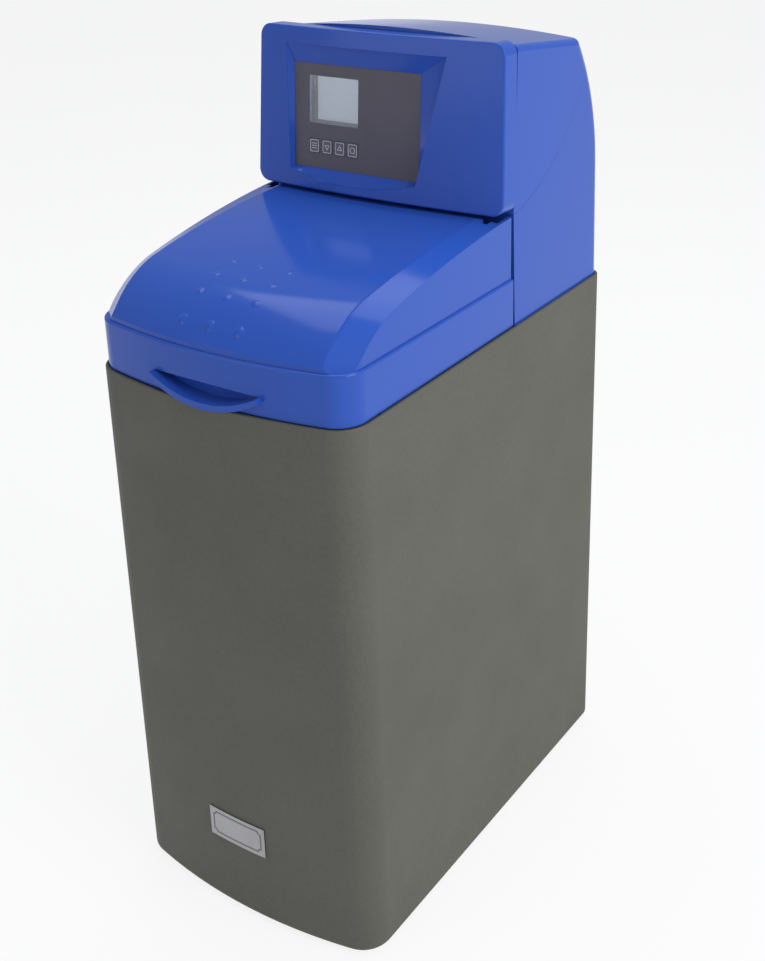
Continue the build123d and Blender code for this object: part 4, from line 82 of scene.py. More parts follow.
# Patterns that all the finishes share.
TINT_DETAIL, SPECKLE_DETAIL, SMUDGE_DETAIL, RELIEF_DETAIL = 3.0, 2.0, 4.0, 3.0
SPECKLE_PER_GRAIN = 0.6
SMUDGE_PER_TINT = 2.3
SPECKLE_SHARE = 0.5
TINT_RAMP = (0.2, 0.8)
SMUDGE_RANGE = (0.15, 0.85)
LEAST_ROUGHNESS = 0.02
BRUSH_STRETCH = (1.0, 1.0, 0.04)
BRUSH_FROM_SCALE = 100.0
NO_STRETCH = (1.0, 1.0, 1.0)
CLEAR_TRANSMISSION = 0.9
CLEAR_IOR = 1.49

# Faces of rounded forms.
ROUND_SIDES = 24
CORNER_SEGMENTS = 4
EVEN_ROUNDING = 0.5
SMOOTH_ANGLE = radians(35.0)


def linear(colour: Colour) -> tuple[float, float, float, float]:
    """Turn a screen colour into the linear colour that shaders take.

    Args:
        colour: Red, green and blue as they look on a screen, 0 to 1.

    Returns:
        The linear colour with full alpha.
    """
    red, green, blue = (
        c / SCREEN_SLOPE if c <= SCREEN_KNEE
        else ((c + SCREEN_OFFSET) / (1.0 + SCREEN_OFFSET)) ** SCREEN_POWER
        for c in colour
    )
    return (red, green, blue, 1.0)


class Surface(Enum):
    """Kinds of surface that a finish can have."""

    MOULDED = "moulded"
    GRAINED = "grained"
    BRUSHED = "brushed"
    CLEAR = "clear"
    LIT = "lit"


@dataclass(frozen=True)
class Finish:
    """One finish: a colour with soft variation, a roughness that wanders and a fine relief.

    Attributes:
        name: Name of the material.
        colour: Mean colour as it looks on a screen.
        surface: Kind of surface, which sets the form of the relief.
        roughness: Mean roughness.
        roughness_spread: How far the roughness wanders to either side.
        tint: Share by which the colour gets darker and lighter.
        tint_scale: Scale of that change per metre.
        grain_scale: Scale of the relief per metre.
        grain: Strength of the relief, 0 to 1.
        grain_depth: Depth of the relief.
        metallic: Share of metal.
        coat: Share of clear coat.
        coat_roughness: Roughness of the coat.
        specular: Level of the reflections.
        glow: Strength of the light that a lit surface gives off.
    """

    name: str
    colour: Colour
    surface: Surface
    roughness: float
    roughness_spread: float
    tint: float
    tint_scale: float
    grain_scale: float
    grain: float
    grain_depth: float
    metallic: float = 0.0
    coat: float = 0.0
    coat_roughness: float = 0.08
    specular: float = 0.5
    glow: float = 0.0

    def build(self) -> bpy.types.Material:
        """Build the node material of this finish.

        Returns:
            The new material.
        """
        material = bpy.data.materials.new(self.name)
        material.use_nodes = True
        tree = material.node_tree
        tree.nodes.clear()
        output = tree.nodes.new("ShaderNodeOutputMaterial")
        shader = tree.nodes.new("ShaderNodeBsdfPrincipled")
        shader.inputs["Metallic"].default_value = self.metallic
        shader.inputs["Coat Weight"].default_value = self.coat
        shader.inputs["Coat Roughness"].default_value = self.coat_roughness
        shader.inputs["Specular IOR Level"].default_value = self.specular
        tree.links.new(shader.outputs["BSDF"], output.inputs["Surface"])
        place = tree.nodes.new("ShaderNodeTexCoord")
        self._colour(tree, shader, place)
        self._roughness(tree, shader, place)
        self._relief(tree, shader, place)
        if self.surface is Surface.CLEAR:
            shader.inputs["Transmission Weight"].default_value = CLEAR_TRANSMISSION
            shader.inputs["IOR"].default_value = CLEAR_IOR
        if self.surface is Surface.LIT:
            shader.inputs["Emission Color"].default_value = linear(self.colour)
            shader.inputs["Emission Strength"].default_value = self.glow
        return material

    def _noise(
        self, tree: bpy.types.NodeTree, place: bpy.types.Node, scale: float, detail: float
    ) -> bpy.types.Node:
        """Add a noise texture on object coordinates.

        The fine noise of a brushed finish is drawn out upright, as brush marks are.

        Args:
            tree: Node tree to add to.
            place: Texture coordinate node.
            scale: Scale of the noise per metre.
            detail: Octaves of the noise.

        Returns:
            The noise node.
        """
        brushed = self.surface is Surface.BRUSHED and scale > BRUSH_FROM_SCALE
        mapping = tree.nodes.new("ShaderNodeMapping")
        mapping.inputs["Scale"].default_value = BRUSH_STRETCH if brushed else NO_STRETCH
        tree.links.new(place.outputs["Object"], mapping.inputs["Vector"])
        noise = tree.nodes.new("ShaderNodeTexNoise")
        noise.inputs["Scale"].default_value = scale
        noise.inputs["Detail"].default_value = detail
        tree.links.new(mapping.outputs["Vector"], noise.inputs["Vector"])
        return noise

    def _colour(
        self, tree: bpy.types.NodeTree, shader: bpy.types.Node, place: bpy.types.Node
    ) -> None:
        """Vary the base colour between a darker and a lighter tint.

        Args:
            tree: Node tree to add to.
            shader: Shader that takes the colour.
            place: Texture coordinate node.
        """
        broad = self._noise(tree, place, self.tint_scale, TINT_DETAIL)
        speckle = self._noise(tree, place, self.grain_scale * SPECKLE_PER_GRAIN, SPECKLE_DETAIL)
        blend = tree.nodes.new("ShaderNodeMix")
        blend.data_type = "FLOAT"
        blend.inputs["Factor"].default_value = SPECKLE_SHARE
        tree.links.new(broad.outputs["Fac"], blend.inputs["A"])
        tree.links.new(speckle.outputs["Fac"], blend.inputs["B"])
        ramp = tree.nodes.new("ShaderNodeValToRGB")
        low, high = ramp.color_ramp.elements
        low.position, high.position = TINT_RAMP
        ramp.color_ramp.interpolation = "EASE"
        low.color = linear(tuple(max(0.0, c * (1.0 - self.tint)) for c in self.colour))
        high.color = linear(tuple(min(1.0, c * (1.0 + self.tint)) for c in self.colour))
        tree.links.new(blend.outputs["Result"], ramp.inputs["Fac"])
        tree.links.new(ramp.outputs["Color"], shader.inputs["Base Color"])

    def _roughness(
        self, tree: bpy.types.NodeTree, shader: bpy.types.Node, place: bpy.types.Node
    ) -> None:
        """Let the roughness wander about its mean.

        Args:
            tree: Node tree to add to.
            shader: Shader that takes the roughness.
            place: Texture coordinate node.
        """
        smudge = self._noise(tree, place, self.tint_scale * SMUDGE_PER_TINT, SMUDGE_DETAIL)
        spread = tree.nodes.new("ShaderNodeMapRange")
        spread.interpolation_type = "SMOOTHSTEP"
        smoothest = max(LEAST_ROUGHNESS, self.roughness - self.roughness_spread)
        roughest = min(1.0, self.roughness + self.roughness_spread)
        spread.inputs["From Min"].default_value = SMUDGE_RANGE[0]
        spread.inputs["From Max"].default_value = SMUDGE_RANGE[1]
        spread.inputs["To Min"].default_value = smoothest
        spread.inputs["To Max"].default_value = roughest
        tree.links.new(smudge.outputs["Fac"], spread.inputs["Value"])
        tree.links.new(spread.outputs["Result"], shader.inputs["Roughness"])

    def _relief(
        self, tree: bpy.types.NodeTree, shader: bpy.types.Node, place: bpy.types.Node
    ) -> None:
        """Give the surface its fine relief: spark texture, orange peel or brush marks.

        Args:
            tree: Node tree to add to.
            shader: Shader that takes the relief.
            place: Texture coordinate node.
        """
        if self.surface is Surface.GRAINED:
            sparks = tree.nodes.new("ShaderNodeTexVoronoi")
            sparks.inputs["Scale"].default_value = self.grain_scale
            tree.links.new(place.outputs["Object"], sparks.inputs["Vector"])
            height = sparks.outputs["Distance"]
        else:
            height = self._noise(tree, place, self.grain_scale, RELIEF_DETAIL).outputs["Fac"]
        bump = tree.nodes.new("ShaderNodeBump")
        bump.inputs["Strength"].default_value = self.grain
        bump.inputs["Distance"].default_value = self.grain_depth
        tree.links.new(height, bump.inputs["Height"])
        tree.links.new(bump.outputs["Normal"], shader.inputs["Normal"])


CABINET_GREY = Finish(
    "cabinet_spark_grey", (0.325, 0.328, 0.3), Surface.GRAINED,
    roughness=0.62, roughness_spread=0.05, tint=0.06, tint_scale=7.0,
    grain_scale=620.0, grain=0.45, grain_depth=0.0003,
)
SHELL_BLUE = Finish(
    "shell_gloss_blue", (0.17, 0.325, 0.7), Surface.MOULDED,
    roughness=0.15, roughness_spread=0.02, tint=0.015, tint_scale=4.0,
    grain_scale=2600.0, grain=0.015, grain_depth=0.00001,
    specular=0.25,
)
FOIL_GREY = Finish(
    "foil_charcoal", (0.31, 0.295, 0.345), Surface.GRAINED,
    roughness=0.48, roughness_spread=0.04, tint=0.03, tint_scale=30.0,
    grain_scale=1500.0, grain=0.15, grain_depth=0.00005,
)
KEY_GREY = Finish(
    "key_charcoal", (0.33, 0.315, 0.36), Surface.GRAINED,
    roughness=0.42, roughness_spread=0.04, tint=0.03, tint_scale=60.0,
    grain_scale=1500.0, grain=0.12, grain_depth=0.00005,
)
PRINT_WHITE = Finish(
    "print_pale", (0.76, 0.75, 0.79), Surface.MOULDED,
    roughness=0.5, roughness_spread=0.04, tint=0.03, tint_scale=80.0,
    grain_scale=1500.0, grain=0.05, grain_depth=0.00003,
)
BEZEL_GREY = Finish(
    "bezel_grey", (0.37, 0.36, 0.4), Surface.GRAINED,
    roughness=0.5, roughness_spread=0.04, tint=0.04, tint_scale=60.0,
    grain_scale=1500.0, grain=0.1, grain_depth=0.00005,
)
PANE_CLEAR = Finish(
    "pane_clear", (0.93, 0.95, 0.97), Surface.CLEAR,
    roughness=0.08, roughness_spread=0.02, tint=0.01, tint_scale=20.0,
    grain_scale=900.0, grain=0.01, grain_depth=0.00002,
)
SCREEN_LIT = Finish(
    "screen_silver", (0.7, 0.72, 0.75), Surface.LIT,
    roughness=0.35, roughness_spread=0.04, tint=0.03, tint_scale=40.0,
    grain_scale=1400.0, grain=0.04, grain_depth=0.00003,
    glow=0.32,
)
BOARD_GREEN = Finish(
    "board_green", (0.06, 0.3, 0.16), Surface.MOULDED,
    roughness=0.4, roughness_spread=0.06, tint=0.1, tint_scale=60.0,
    grain_scale=1200.0, grain=0.1, grain_depth=0.00008,
)
PLATE_SILVER = Finish(
    "plate_silver", (0.62, 0.62, 0.635), Surface.BRUSHED,
    roughness=0.3, roughness_spread=0.06, tint=0.04, tint_scale=40.0,
    grain_scale=2400.0, grain=0.12, grain_depth=0.00004,
    metallic=1.0,
)
PLATE_INK = Finish(
    "plate_ink", (0.42, 0.42, 0.44), Surface.MOULDED,
    roughness=0.5, roughness_spread=0.05, tint=0.05, tint_scale=40.0,
    grain_scale=1500.0, grain=0.05, grain_depth=0.00003,
)
SOFT_BLACK = Finish(
    "soft_black", (0.09, 0.09, 0.09), Surface.GRAINED,
    roughness=0.75, roughness_spread=0.06, tint=0.1, tint_scale=40.0,
    grain_scale=1100.0, grain=0.3, grain_depth=0.0001,
)
STEEL = Finish(
    "bright_steel", (0.68, 0.68, 0.67), Surface.BRUSHED,
    roughness=0.28, roughness_spread=0.08, tint=0.04, tint_scale=60.0,
    grain_scale=2000.0, grain=0.1, grain_depth=0.00004,
    metallic=1.0,
)
TANK_WRAP = Finish(
    "tank_wound_grey", (0.7, 0.73, 0.76), Surface.MOULDED,
    roughness=0.38, roughness_spread=0.08, tint=0.06, tint_scale=14.0,
    grain_scale=320.0, grain=0.25, grain_depth=0.0003,
    coat=0.2,
)
BOOT_BLACK = Finish(
    "boot_black", (0.12, 0.12, 0.13), Surface.GRAINED,
    roughness=0.55, roughness_spread=0.06, tint=0.08, tint_scale=20.0,
    grain_scale=800.0, grain=0.3, grain_depth=0.0002,
)
WHITE_PLASTIC = Finish(
    "plumbing_white", (0.88, 0.88, 0.86), Surface.MOULDED,
    roughness=0.42, roughness_spread=0.06, tint=0.03, tint_scale=16.0,
    grain_scale=500.0, grain=0.08, grain_depth=0.0001,
)
VALVE_BLACK = Finish(
    "valve_black", (0.13, 0.13, 0.14), Surface.GRAINED,
    roughness=0.5, roughness_spread=0.07, tint=0.1, tint_scale=30.0,
    grain_scale=900.0, grain=0.3, grain_depth=0.00015,
)
GEAR_CREAM = Finish(
    "gear_cream", (0.9, 0.89, 0.83), Surface.MOULDED,
    roughness=0.36, roughness_spread=0.05, tint=0.02, tint_scale=40.0,
    grain_scale=900.0, grain=0.05, grain_depth=0.00005,
)
MOTOR_METAL = Finish(
    "motor_can", (0.58, 0.59, 0.6), Surface.BRUSHED,
    roughness=0.38, roughness_spread=0.08, tint=0.05, tint_scale=40.0,
    grain_scale=1600.0, grain=0.15, grain_depth=0.00005,
    metallic=0.9,
)
KNOB_GREY = Finish(
    "knob_grey", (0.52, 0.53, 0.55), Surface.MOULDED,
    roughness=0.4, roughness_spread=0.06, tint=0.05, tint_scale=30.0,
    grain_scale=700.0, grain=0.12, grain_depth=0.0001,
)
TUBE_MILKY = Finish(
    "tube_milky", (0.84, 0.86, 0.87), Surface.MOULDED,
    roughness=0.3, roughness_spread=0.05, tint=0.03, tint_scale=30.0,
    grain_scale=500.0, grain=0.04, grain_depth=0.00005,
    coat=0.2,
)

NODE_FINISHES: dict[Finish, tuple[str, ...]] = {
    CABINET_GREY: ("cabinet", "deck"),
    SHELL_BLUE: ("salt_lid", "rear_shroud", "valve_hood", "fascia"),
    FOIL_GREY: ("control_foil",),
    KEY_GREY: ("key_1", "key_2", "key_3", "key_4"),
    PANE_CLEAR: ("screen_pane",),
    SCREEN_LIT: ("screen_module",),
    BOARD_GREEN: ("control_board",),
    PLATE_SILVER: ("name_plate",),
    SOFT_BLACK: ("feet", "lid_bumpers"),
    STEEL: ("hinge_pins", "board_screws", "idler_shaft"),
    TANK_WRAP: ("resin_tank",),
    BOOT_BLACK: ("tank_boot",),
    WHITE_PLASTIC: (
        "riser_tube", "lower_distributor", "upper_distributor",
        "piston", "piston_gland", "turbine", "brine_elbow",
        "brine_well", "brine_well_cap", "brine_valve", "air_check", "float", "rod_guide",
        "salt_platform", "overflow_elbow", "overflow_nut",
    ),
    VALVE_BLACK: (
        "power_inlet", "valve_body", "drive_plate", "meter_cover", "injector_cap", "drain_elbow",
        "port_couplers", "bypass_body", "union_nuts", "port_tail_inlet", "port_tail_outlet",
    ),
    GEAR_CREAM: ("main_gear", "idler_gear", "motor_pinion"),
    MOTOR_METAL: ("drive_motor",),
    KNOB_GREY: ("port_clips", "bypass_knob_inlet", "bypass_knob_outlet"),
    TUBE_MILKY: ("brine_tube",),
}


class Paint:
    """Holds one material for each finish and gives it to objects."""

    def __init__(self) -> None:
        """Start with no materials."""
        self._made: dict[str, bpy.types.Material] = {}

    def material(self, finish: Finish) -> bpy.types.Material:
        """Build a finish once and give back its material.

        Args:
            finish: Finish that is wanted.

        Returns:
            Its material.
        """
        if finish.name not in self._made:
            self._made[finish.name] = finish.build()
        return self._made[finish.name]

    def coat(self, piece: bpy.types.Object, finish: Finish) -> None:
        """Give every slot of an object one finish.

        Args:
            piece: Object to paint.
            finish: Its finish.
        """
        if not piece.material_slots:
            piece.data.materials.append(None)
        for slot in piece.material_slots:
            slot.material = self.material(finish)

    def carried_nodes(self, nodes: dict[str, bpy.types.Object]) -> None:
        """Paint all the nodes that come from the construction model.

        Args:
            nodes: Objects of the nodes by name.
        """
        for finish, names in NODE_FINISHES.items():
            for name in names:
                self.coat(nodes[name], finish)
        bare = set(nodes) - {name for names in NODE_FINISHES.values() for name in names}
        log.info("painted %d nodes, left over: %s", len(nodes) - len(bare), sorted(bare))


@dataclass(frozen=True)
class HeadFace:
    """Leaning front of the control head, measured from the middle of its bottom edge."""

    front: float = 10.5 * MM
    bottom: float = 596.5 * MM
    lean: float = radians(4.2)

    def place(self, across: float, up: float, depth: float, out: bool = True) -> Matrix:
        """Work out where a piece modelled flat, face up, sits on the head.

        Args:
            across: Distance to the right of the middle.
            up: Distance up the face.
            depth: Depth behind the crest of the face.
            out: Whether the piece faces the user, and not the rear.

        Returns:
            The matrix that moves the flat piece there.
        """
        spot = Vector((
            across,
            self.front + up * sin(self.lean) + depth * cos(self.lean),
            self.bottom + up * cos(self.lean) - depth * sin(self.lean),
        ))
        turn = Matrix.Rotation(pi / 2 - self.lean, 4, "X")
        if not out:
            turn = turn @ Matrix.Rotation(pi, 4, "Y")
        return Matrix.Translation(spot) @ turn


@dataclass(frozen=True)
class CabinetBow:
    """Bowed front of the cabinet, a part of an upright cylinder."""

    radius: float = 486.632 * MM
    middle: float = 267.632 * MM

    def wrap(self, piece: bpy.types.Object, height: float, lift: float) -> None:
        """Lay a piece modelled flat, face up, on the bow.

        Args:
            piece: Piece to lay.
            height: Height of its middle above the floor.
            lift: Distance of its underside from the bow.
        """
        for vertex in piece.data.vertices:
            angle = vertex.co.x / self.radius
            reach = self.radius + lift + vertex.co.z
            vertex.co = (
                reach * sin(angle),
                self.middle - reach * cos(angle),
                height + vertex.co.y,
            )


class Glyph(Enum):
    """Plain signs printed on the keys, from the left key to the right one."""

    MENU = "menu"
    DOWN = "down"
    UP = "up"
    ENTER = "enter"


class Element(Enum):
    """Kinds of element that edit mode selects."""

    CORNERS = "VERT"
    FACES = "FACE"


class Bench:
    """Adds primitives and runs the steps that shape them in edit mode."""

    def __init__(self, paint: Paint) -> None:
        """Keep the paint shop that finishes the pieces."""
        self.paint = paint

    @staticmethod
    def begin() -> None:
        """Leave edit mode and select nothing."""
        if bpy.context.object and bpy.context.object.mode == "EDIT":
            bpy.ops.object.mode_set(mode="OBJECT")
        bpy.ops.object.select_all(action="DESELECT")

    @staticmethod
    def name(name: str) -> bpy.types.Object:
        """Name the active object and its mesh.

        Args:
            name: Name to give.

        Returns:
            The object.
        """
        piece = bpy.context.active_object
        piece.name = piece.data.name = name
        return piece

    def rectangle(
        self, name: str, width: float, height: float, columns: int = 1
    ) -> bpy.types.Object:
        """Add a flat rectangle in the middle of the plan.

        Args:
            name: Name of the new piece.
            width: Its width along X.
            height: Its height along Y.
            columns: Number of faces across it.

        Returns:
            The piece.
        """
        self.begin()
        bpy.ops.mesh.primitive_grid_add(
            x_subdivisions=columns, y_subdivisions=1, size=1.0, location=(0.0, 0.0, 0.0)
        )
        piece = self.name(name)
        piece.data.transform(Matrix.Diagonal((width, height, 1.0, 1.0)))
        return piece

    def disc(
        self, name: str, radius: float, sides: int = ROUND_SIDES, turn: float = 0.0
    ) -> bpy.types.Object:
        """Add a flat filled polygon in the middle of the plan.

        Args:
            name: Name of the new piece.
            radius: Radius to its corners.
            sides: Number of its sides.
            turn: Angle by which it is turned.

        Returns:
            The piece.
        """
        self.begin()
        bpy.ops.mesh.primitive_circle_add(
            vertices=sides, radius=radius, fill_type="NGON", location=(0.0, 0.0, 0.0)
        )
        piece = self.name(name)
        piece.data.transform(Matrix.Rotation(turn, 4, "Z"))
        return piece

    @staticmethod
    def pick(piece: bpy.types.Object, element: Element) -> None:
        """Make a piece active, with nothing in its mesh selected.

        Args:
            piece: Piece to work on.
            element: Kind of element that is selected next.
        """
        bpy.ops.object.select_all(action="DESELECT")
        piece.select_set(True)
        bpy.context.view_layer.objects.active = piece
        bpy.ops.object.mode_set(mode="EDIT")
        bpy.ops.mesh.select_mode(type=element.value)
        bpy.ops.mesh.select_all(action="DESELECT")
        bpy.ops.object.mode_set(mode="OBJECT")

    def round_corners(
        self, piece: bpy.types.Object, radius: float, profile: float = EVEN_ROUNDING
    ) -> None:
        """Round the corners of a flat rectangle.

        Args:
            piece: Rectangle to change.
            radius: Radius of the corners.
            profile: Shape of the rounding, hollow below 0.25.
        """
        self.pick(piece, Element.CORNERS)
        edge_x = max(v.co.x for v in piece.data.vertices)
        for vertex in piece.data.vertices:
            vertex.select = abs(abs(vertex.co.x) - edge_x) < TINY
        bpy.ops.object.mode_set(mode="EDIT")
        bpy.ops.mesh.bevel(
            affect="VERTICES", offset=radius, segments=CORNER_SEGMENTS, profile=profile
        )
        bpy.ops.object.mode_set(mode="OBJECT")

    def frame_only(self, piece: bpy.types.Object, line: float) -> None:
        """Keep a border of a flat piece and take out its middle.

        Args:
            piece: Flat piece to change.
            line: Width of the border.
        """
        self.pick(piece, Element.FACES)
        bpy.ops.object.mode_set(mode="EDIT")
        bpy.ops.mesh.select_all(action="SELECT")
        bpy.ops.mesh.inset(thickness=line, use_boundary=True)
        bpy.ops.mesh.delete(type="FACE")
        bpy.ops.object.mode_set(mode="OBJECT")

    def raise_up(self, piece: bpy.types.Object, height: float) -> None:
        """Give a flat piece a thickness upwards, with its faces outward.

        Args:
            piece: Flat piece to change.
            height: Its thickness.
        """
        self.pick(piece, Element.FACES)
        bpy.ops.object.mode_set(mode="EDIT")
        bpy.ops.mesh.select_all(action="SELECT")
        bpy.ops.mesh.extrude_region_move(TRANSFORM_OT_translate={"value": (0.0, 0.0, height)})
        bpy.ops.mesh.select_all(action="SELECT")
        bpy.ops.mesh.normals_make_consistent(inside=False)
        bpy.ops.object.mode_set(mode="OBJECT")

    def soften(self, piece: bpy.types.Object, width: float, segments: int = 2) -> None:
        """Round the edges of a piece by an applied bevel.

        Args:
            piece: Piece to change.
            width: Width of the rounding.
            segments: Number of its faces.
        """
        self.begin()
        bpy.context.view_layer.objects.active = piece
        piece.select_set(True)
        bevel = piece.modifiers.new("soften", "BEVEL")
        bevel.width, bevel.segments, bevel.limit_method = width, segments, "ANGLE"
        bpy.ops.object.modifier_apply(modifier=bevel.name)
        bpy.ops.object.shade_smooth_by_angle(angle=SMOOTH_ANGLE)

    def cut(self, piece: bpy.types.Object, cutter: bpy.types.Object) -> None:
        """Cut one piece with another and remove the cutter.

        Args:
            piece: Piece to cut.
            cutter: Piece that is taken away from it.
        """
        self.begin()
        bpy.context.view_layer.objects.active = piece
        piece.select_set(True)
        cutting = piece.modifiers.new("cut", "BOOLEAN")
        cutting.object, cutting.operation, cutting.solver = cutter, "DIFFERENCE", "EXACT"
        bpy.ops.object.modifier_apply(modifier=cutting.name)
        bpy.data.objects.remove(cutter, do_unlink=True)

    def join(self, name: str, pieces: list[bpy.types.Object]) -> bpy.types.Object:
        """Join pieces into one object.

        Args:
            name: Name of the joined piece.
            pieces: Pieces to join.

        Returns:
            The joined piece.
        """
        self.begin()
        for piece in pieces:
            piece.select_set(True)
        bpy.context.view_layer.objects.active = pieces[0]
        bpy.ops.object.join()
        return self.name(name)

    @staticmethod
    def copy(piece: bpy.types.Object, name: str, place: Matrix) -> bpy.types.Object:
        """Copy a piece with a mesh of its own and set it in place.

        Args:
            piece: Piece to copy.
            name: Name of the copy.
            place: Matrix that moves it there.

        Returns:
            The copy.
        """
        twin = bpy.data.objects.new(name, piece.data.copy())
        twin.data.name = name
        twin.data.transform(place)
        bpy.context.scene.collection.objects.link(twin)
        return twin

    def finish(self, piece: bpy.types.Object, finish: Finish, body: str, slot: str) -> None:
        """Paint a piece, let it ride on a body and report it.

        Args:
            piece: Finished piece.
            finish: Finish that it gets.
            body: Body that carries it.
            slot: Material slot of the record; not used.
        """
        self.paint.coat(piece, finish)
        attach(piece, body)
        log.info("made %s in %s, on %s", piece.name, finish.name, body)


@dataclass(frozen=True)
class KeyPrints:
    """Pale frames and signs printed on the four keys.

    A sign reaches sign_share of the key's width from its middle. The bars of the menu sign stand
    bar_spread of that reach apart, and the corners of an arrowhead lie at arrow_share of it.
    """

    left: float = -70.0 * MM
    bottom: float = 31.0 * MM
    width: float = 10.8 * MM
    height: float = 12.5 * MM
    pitch: float = 13.4 * MM
    depth: float = 8.5 * MM
    edge: float = 0.9 * MM
    corner: float = 1.3 * MM
    line: float = 0.55 * MM
    ink: float = 0.1 * MM
    sign_share: float = 0.25
    bar_spread: float = 0.75
    arrow_share: float = 1.15

    def sign(self, bench: Bench, glyph: Glyph) -> bpy.types.Object:
        """Model one sign flat, face up: three bars, an arrowhead or a ring.

        Args:
            bench: Bench to work on.
            glyph: Sign to model.

        Returns:
            The sign.
        """
        reach = self.width * self.sign_share
        if glyph is Glyph.MENU:
            bars = []
            for row in (-1, 0, 1):
                bar = bench.rectangle("bar", 2 * reach, self.line)
                bar.data.transform(Matrix.Translation((0.0, row * reach * self.bar_spread, 0.0)))
                bars.append(bar)
            return bench.join("sign", bars)
        if glyph is Glyph.ENTER:
            sign = bench.disc("sign", reach)
        else:
            turn = 0.0 if glyph is Glyph.UP else pi
            sign = bench.disc("sign", reach * self.arrow_share, 3, turn)
        bench.frame_only(sign, self.line)
        return sign

    def build(self, bench: Bench, face: HeadFace) -> None:
        """Print every key.

        Args:
            bench: Bench to work on.
            face: Face that the keys lie in.
        """
        width, height = self.width - 2 * self.edge, self.height - 2 * self.edge
        border = bench.rectangle("key_border", width, height)
        bench.round_corners(border, self.corner)
        bench.frame_only(border, self.line)
        for number, glyph in enumerate(Glyph):
            middle = self.left + self.width / 2 + number * self.pitch
            frame = bench.copy(border, "print", Matrix.Identity(4))
            flat = bench.join("print", [frame, self.sign(bench, glyph)])
            bench.raise_up(flat, self.ink)
            flat.data.transform(face.place(middle, self.bottom + self.height / 2, self.depth))
            flat.name = flat.data.name = f"key_print_{number + 1}"
            bench.finish(flat, PRINT_WHITE, f"key_{number + 1}", "key_grey")
        bpy.data.objects.remove(border, do_unlink=True)


@dataclass(frozen=True)
class ScreenBezel:
    """Dark frame round the lit field of the screen, behind the window."""

    middle: Pair = (-44.5 * MM, 77.5 * MM)
    width: float = 53.6 * MM
    height: float = 45.6 * MM
    border: float = 4.2 * MM
    corner: float = border / 3
    depth: float = 17.6 * MM
    thickness: float = 0.5 * MM
    rounding: float = thickness / 4

    def build(self, bench: Bench, face: HeadFace) -> None:
        """Model the frame and set it on the screen module.

        Args:
            bench: Bench to work on.
            face: Face that the screen lies behind.
        """
        bezel = bench.rectangle("screen_bezel", self.width, self.height)
        bench.round_corners(bezel, self.corner)
        bench.frame_only(bezel, self.border)
        bench.raise_up(bezel, self.thickness)
        bench.soften(bezel, self.rounding)
        bezel.data.transform(face.place(*self.middle, self.depth))
        bench.finish(bezel, BEZEL_GREY, "hood", "foil_grey")


@dataclass(frozen=True)
class PlateBorder:
    """Printed border line with hollow corners on the bare name plate."""

    width: float = 53.0 * MM
    height: float = 23.0 * MM
    line: float = 1.5 * MM
    notch: float = 3.2 * MM
    notch_profile: float = 0.08
    middle: float = 90.0 * MM
    plate: float = 1.0 * MM
    ink: float = 0.08 * MM
    columns: int = 12

    def build(self, bench: Bench, bow: CabinetBow) -> None:
        """Model the border flat and lay it on the plate.

        Args:
            bench: Bench to work on.
            bow: Bowed front that carries the plate.
        """
        border = bench.rectangle("plate_border", self.width, self.height, self.columns)
        bench.round_corners(border, self.notch, self.notch_profile)
        bench.frame_only(border, self.line)
        bench.raise_up(border, self.ink)
        bow.wrap(border, self.middle, self.plate)
        bench.finish(border, PLATE_INK, "cabinet", "plate_silver")


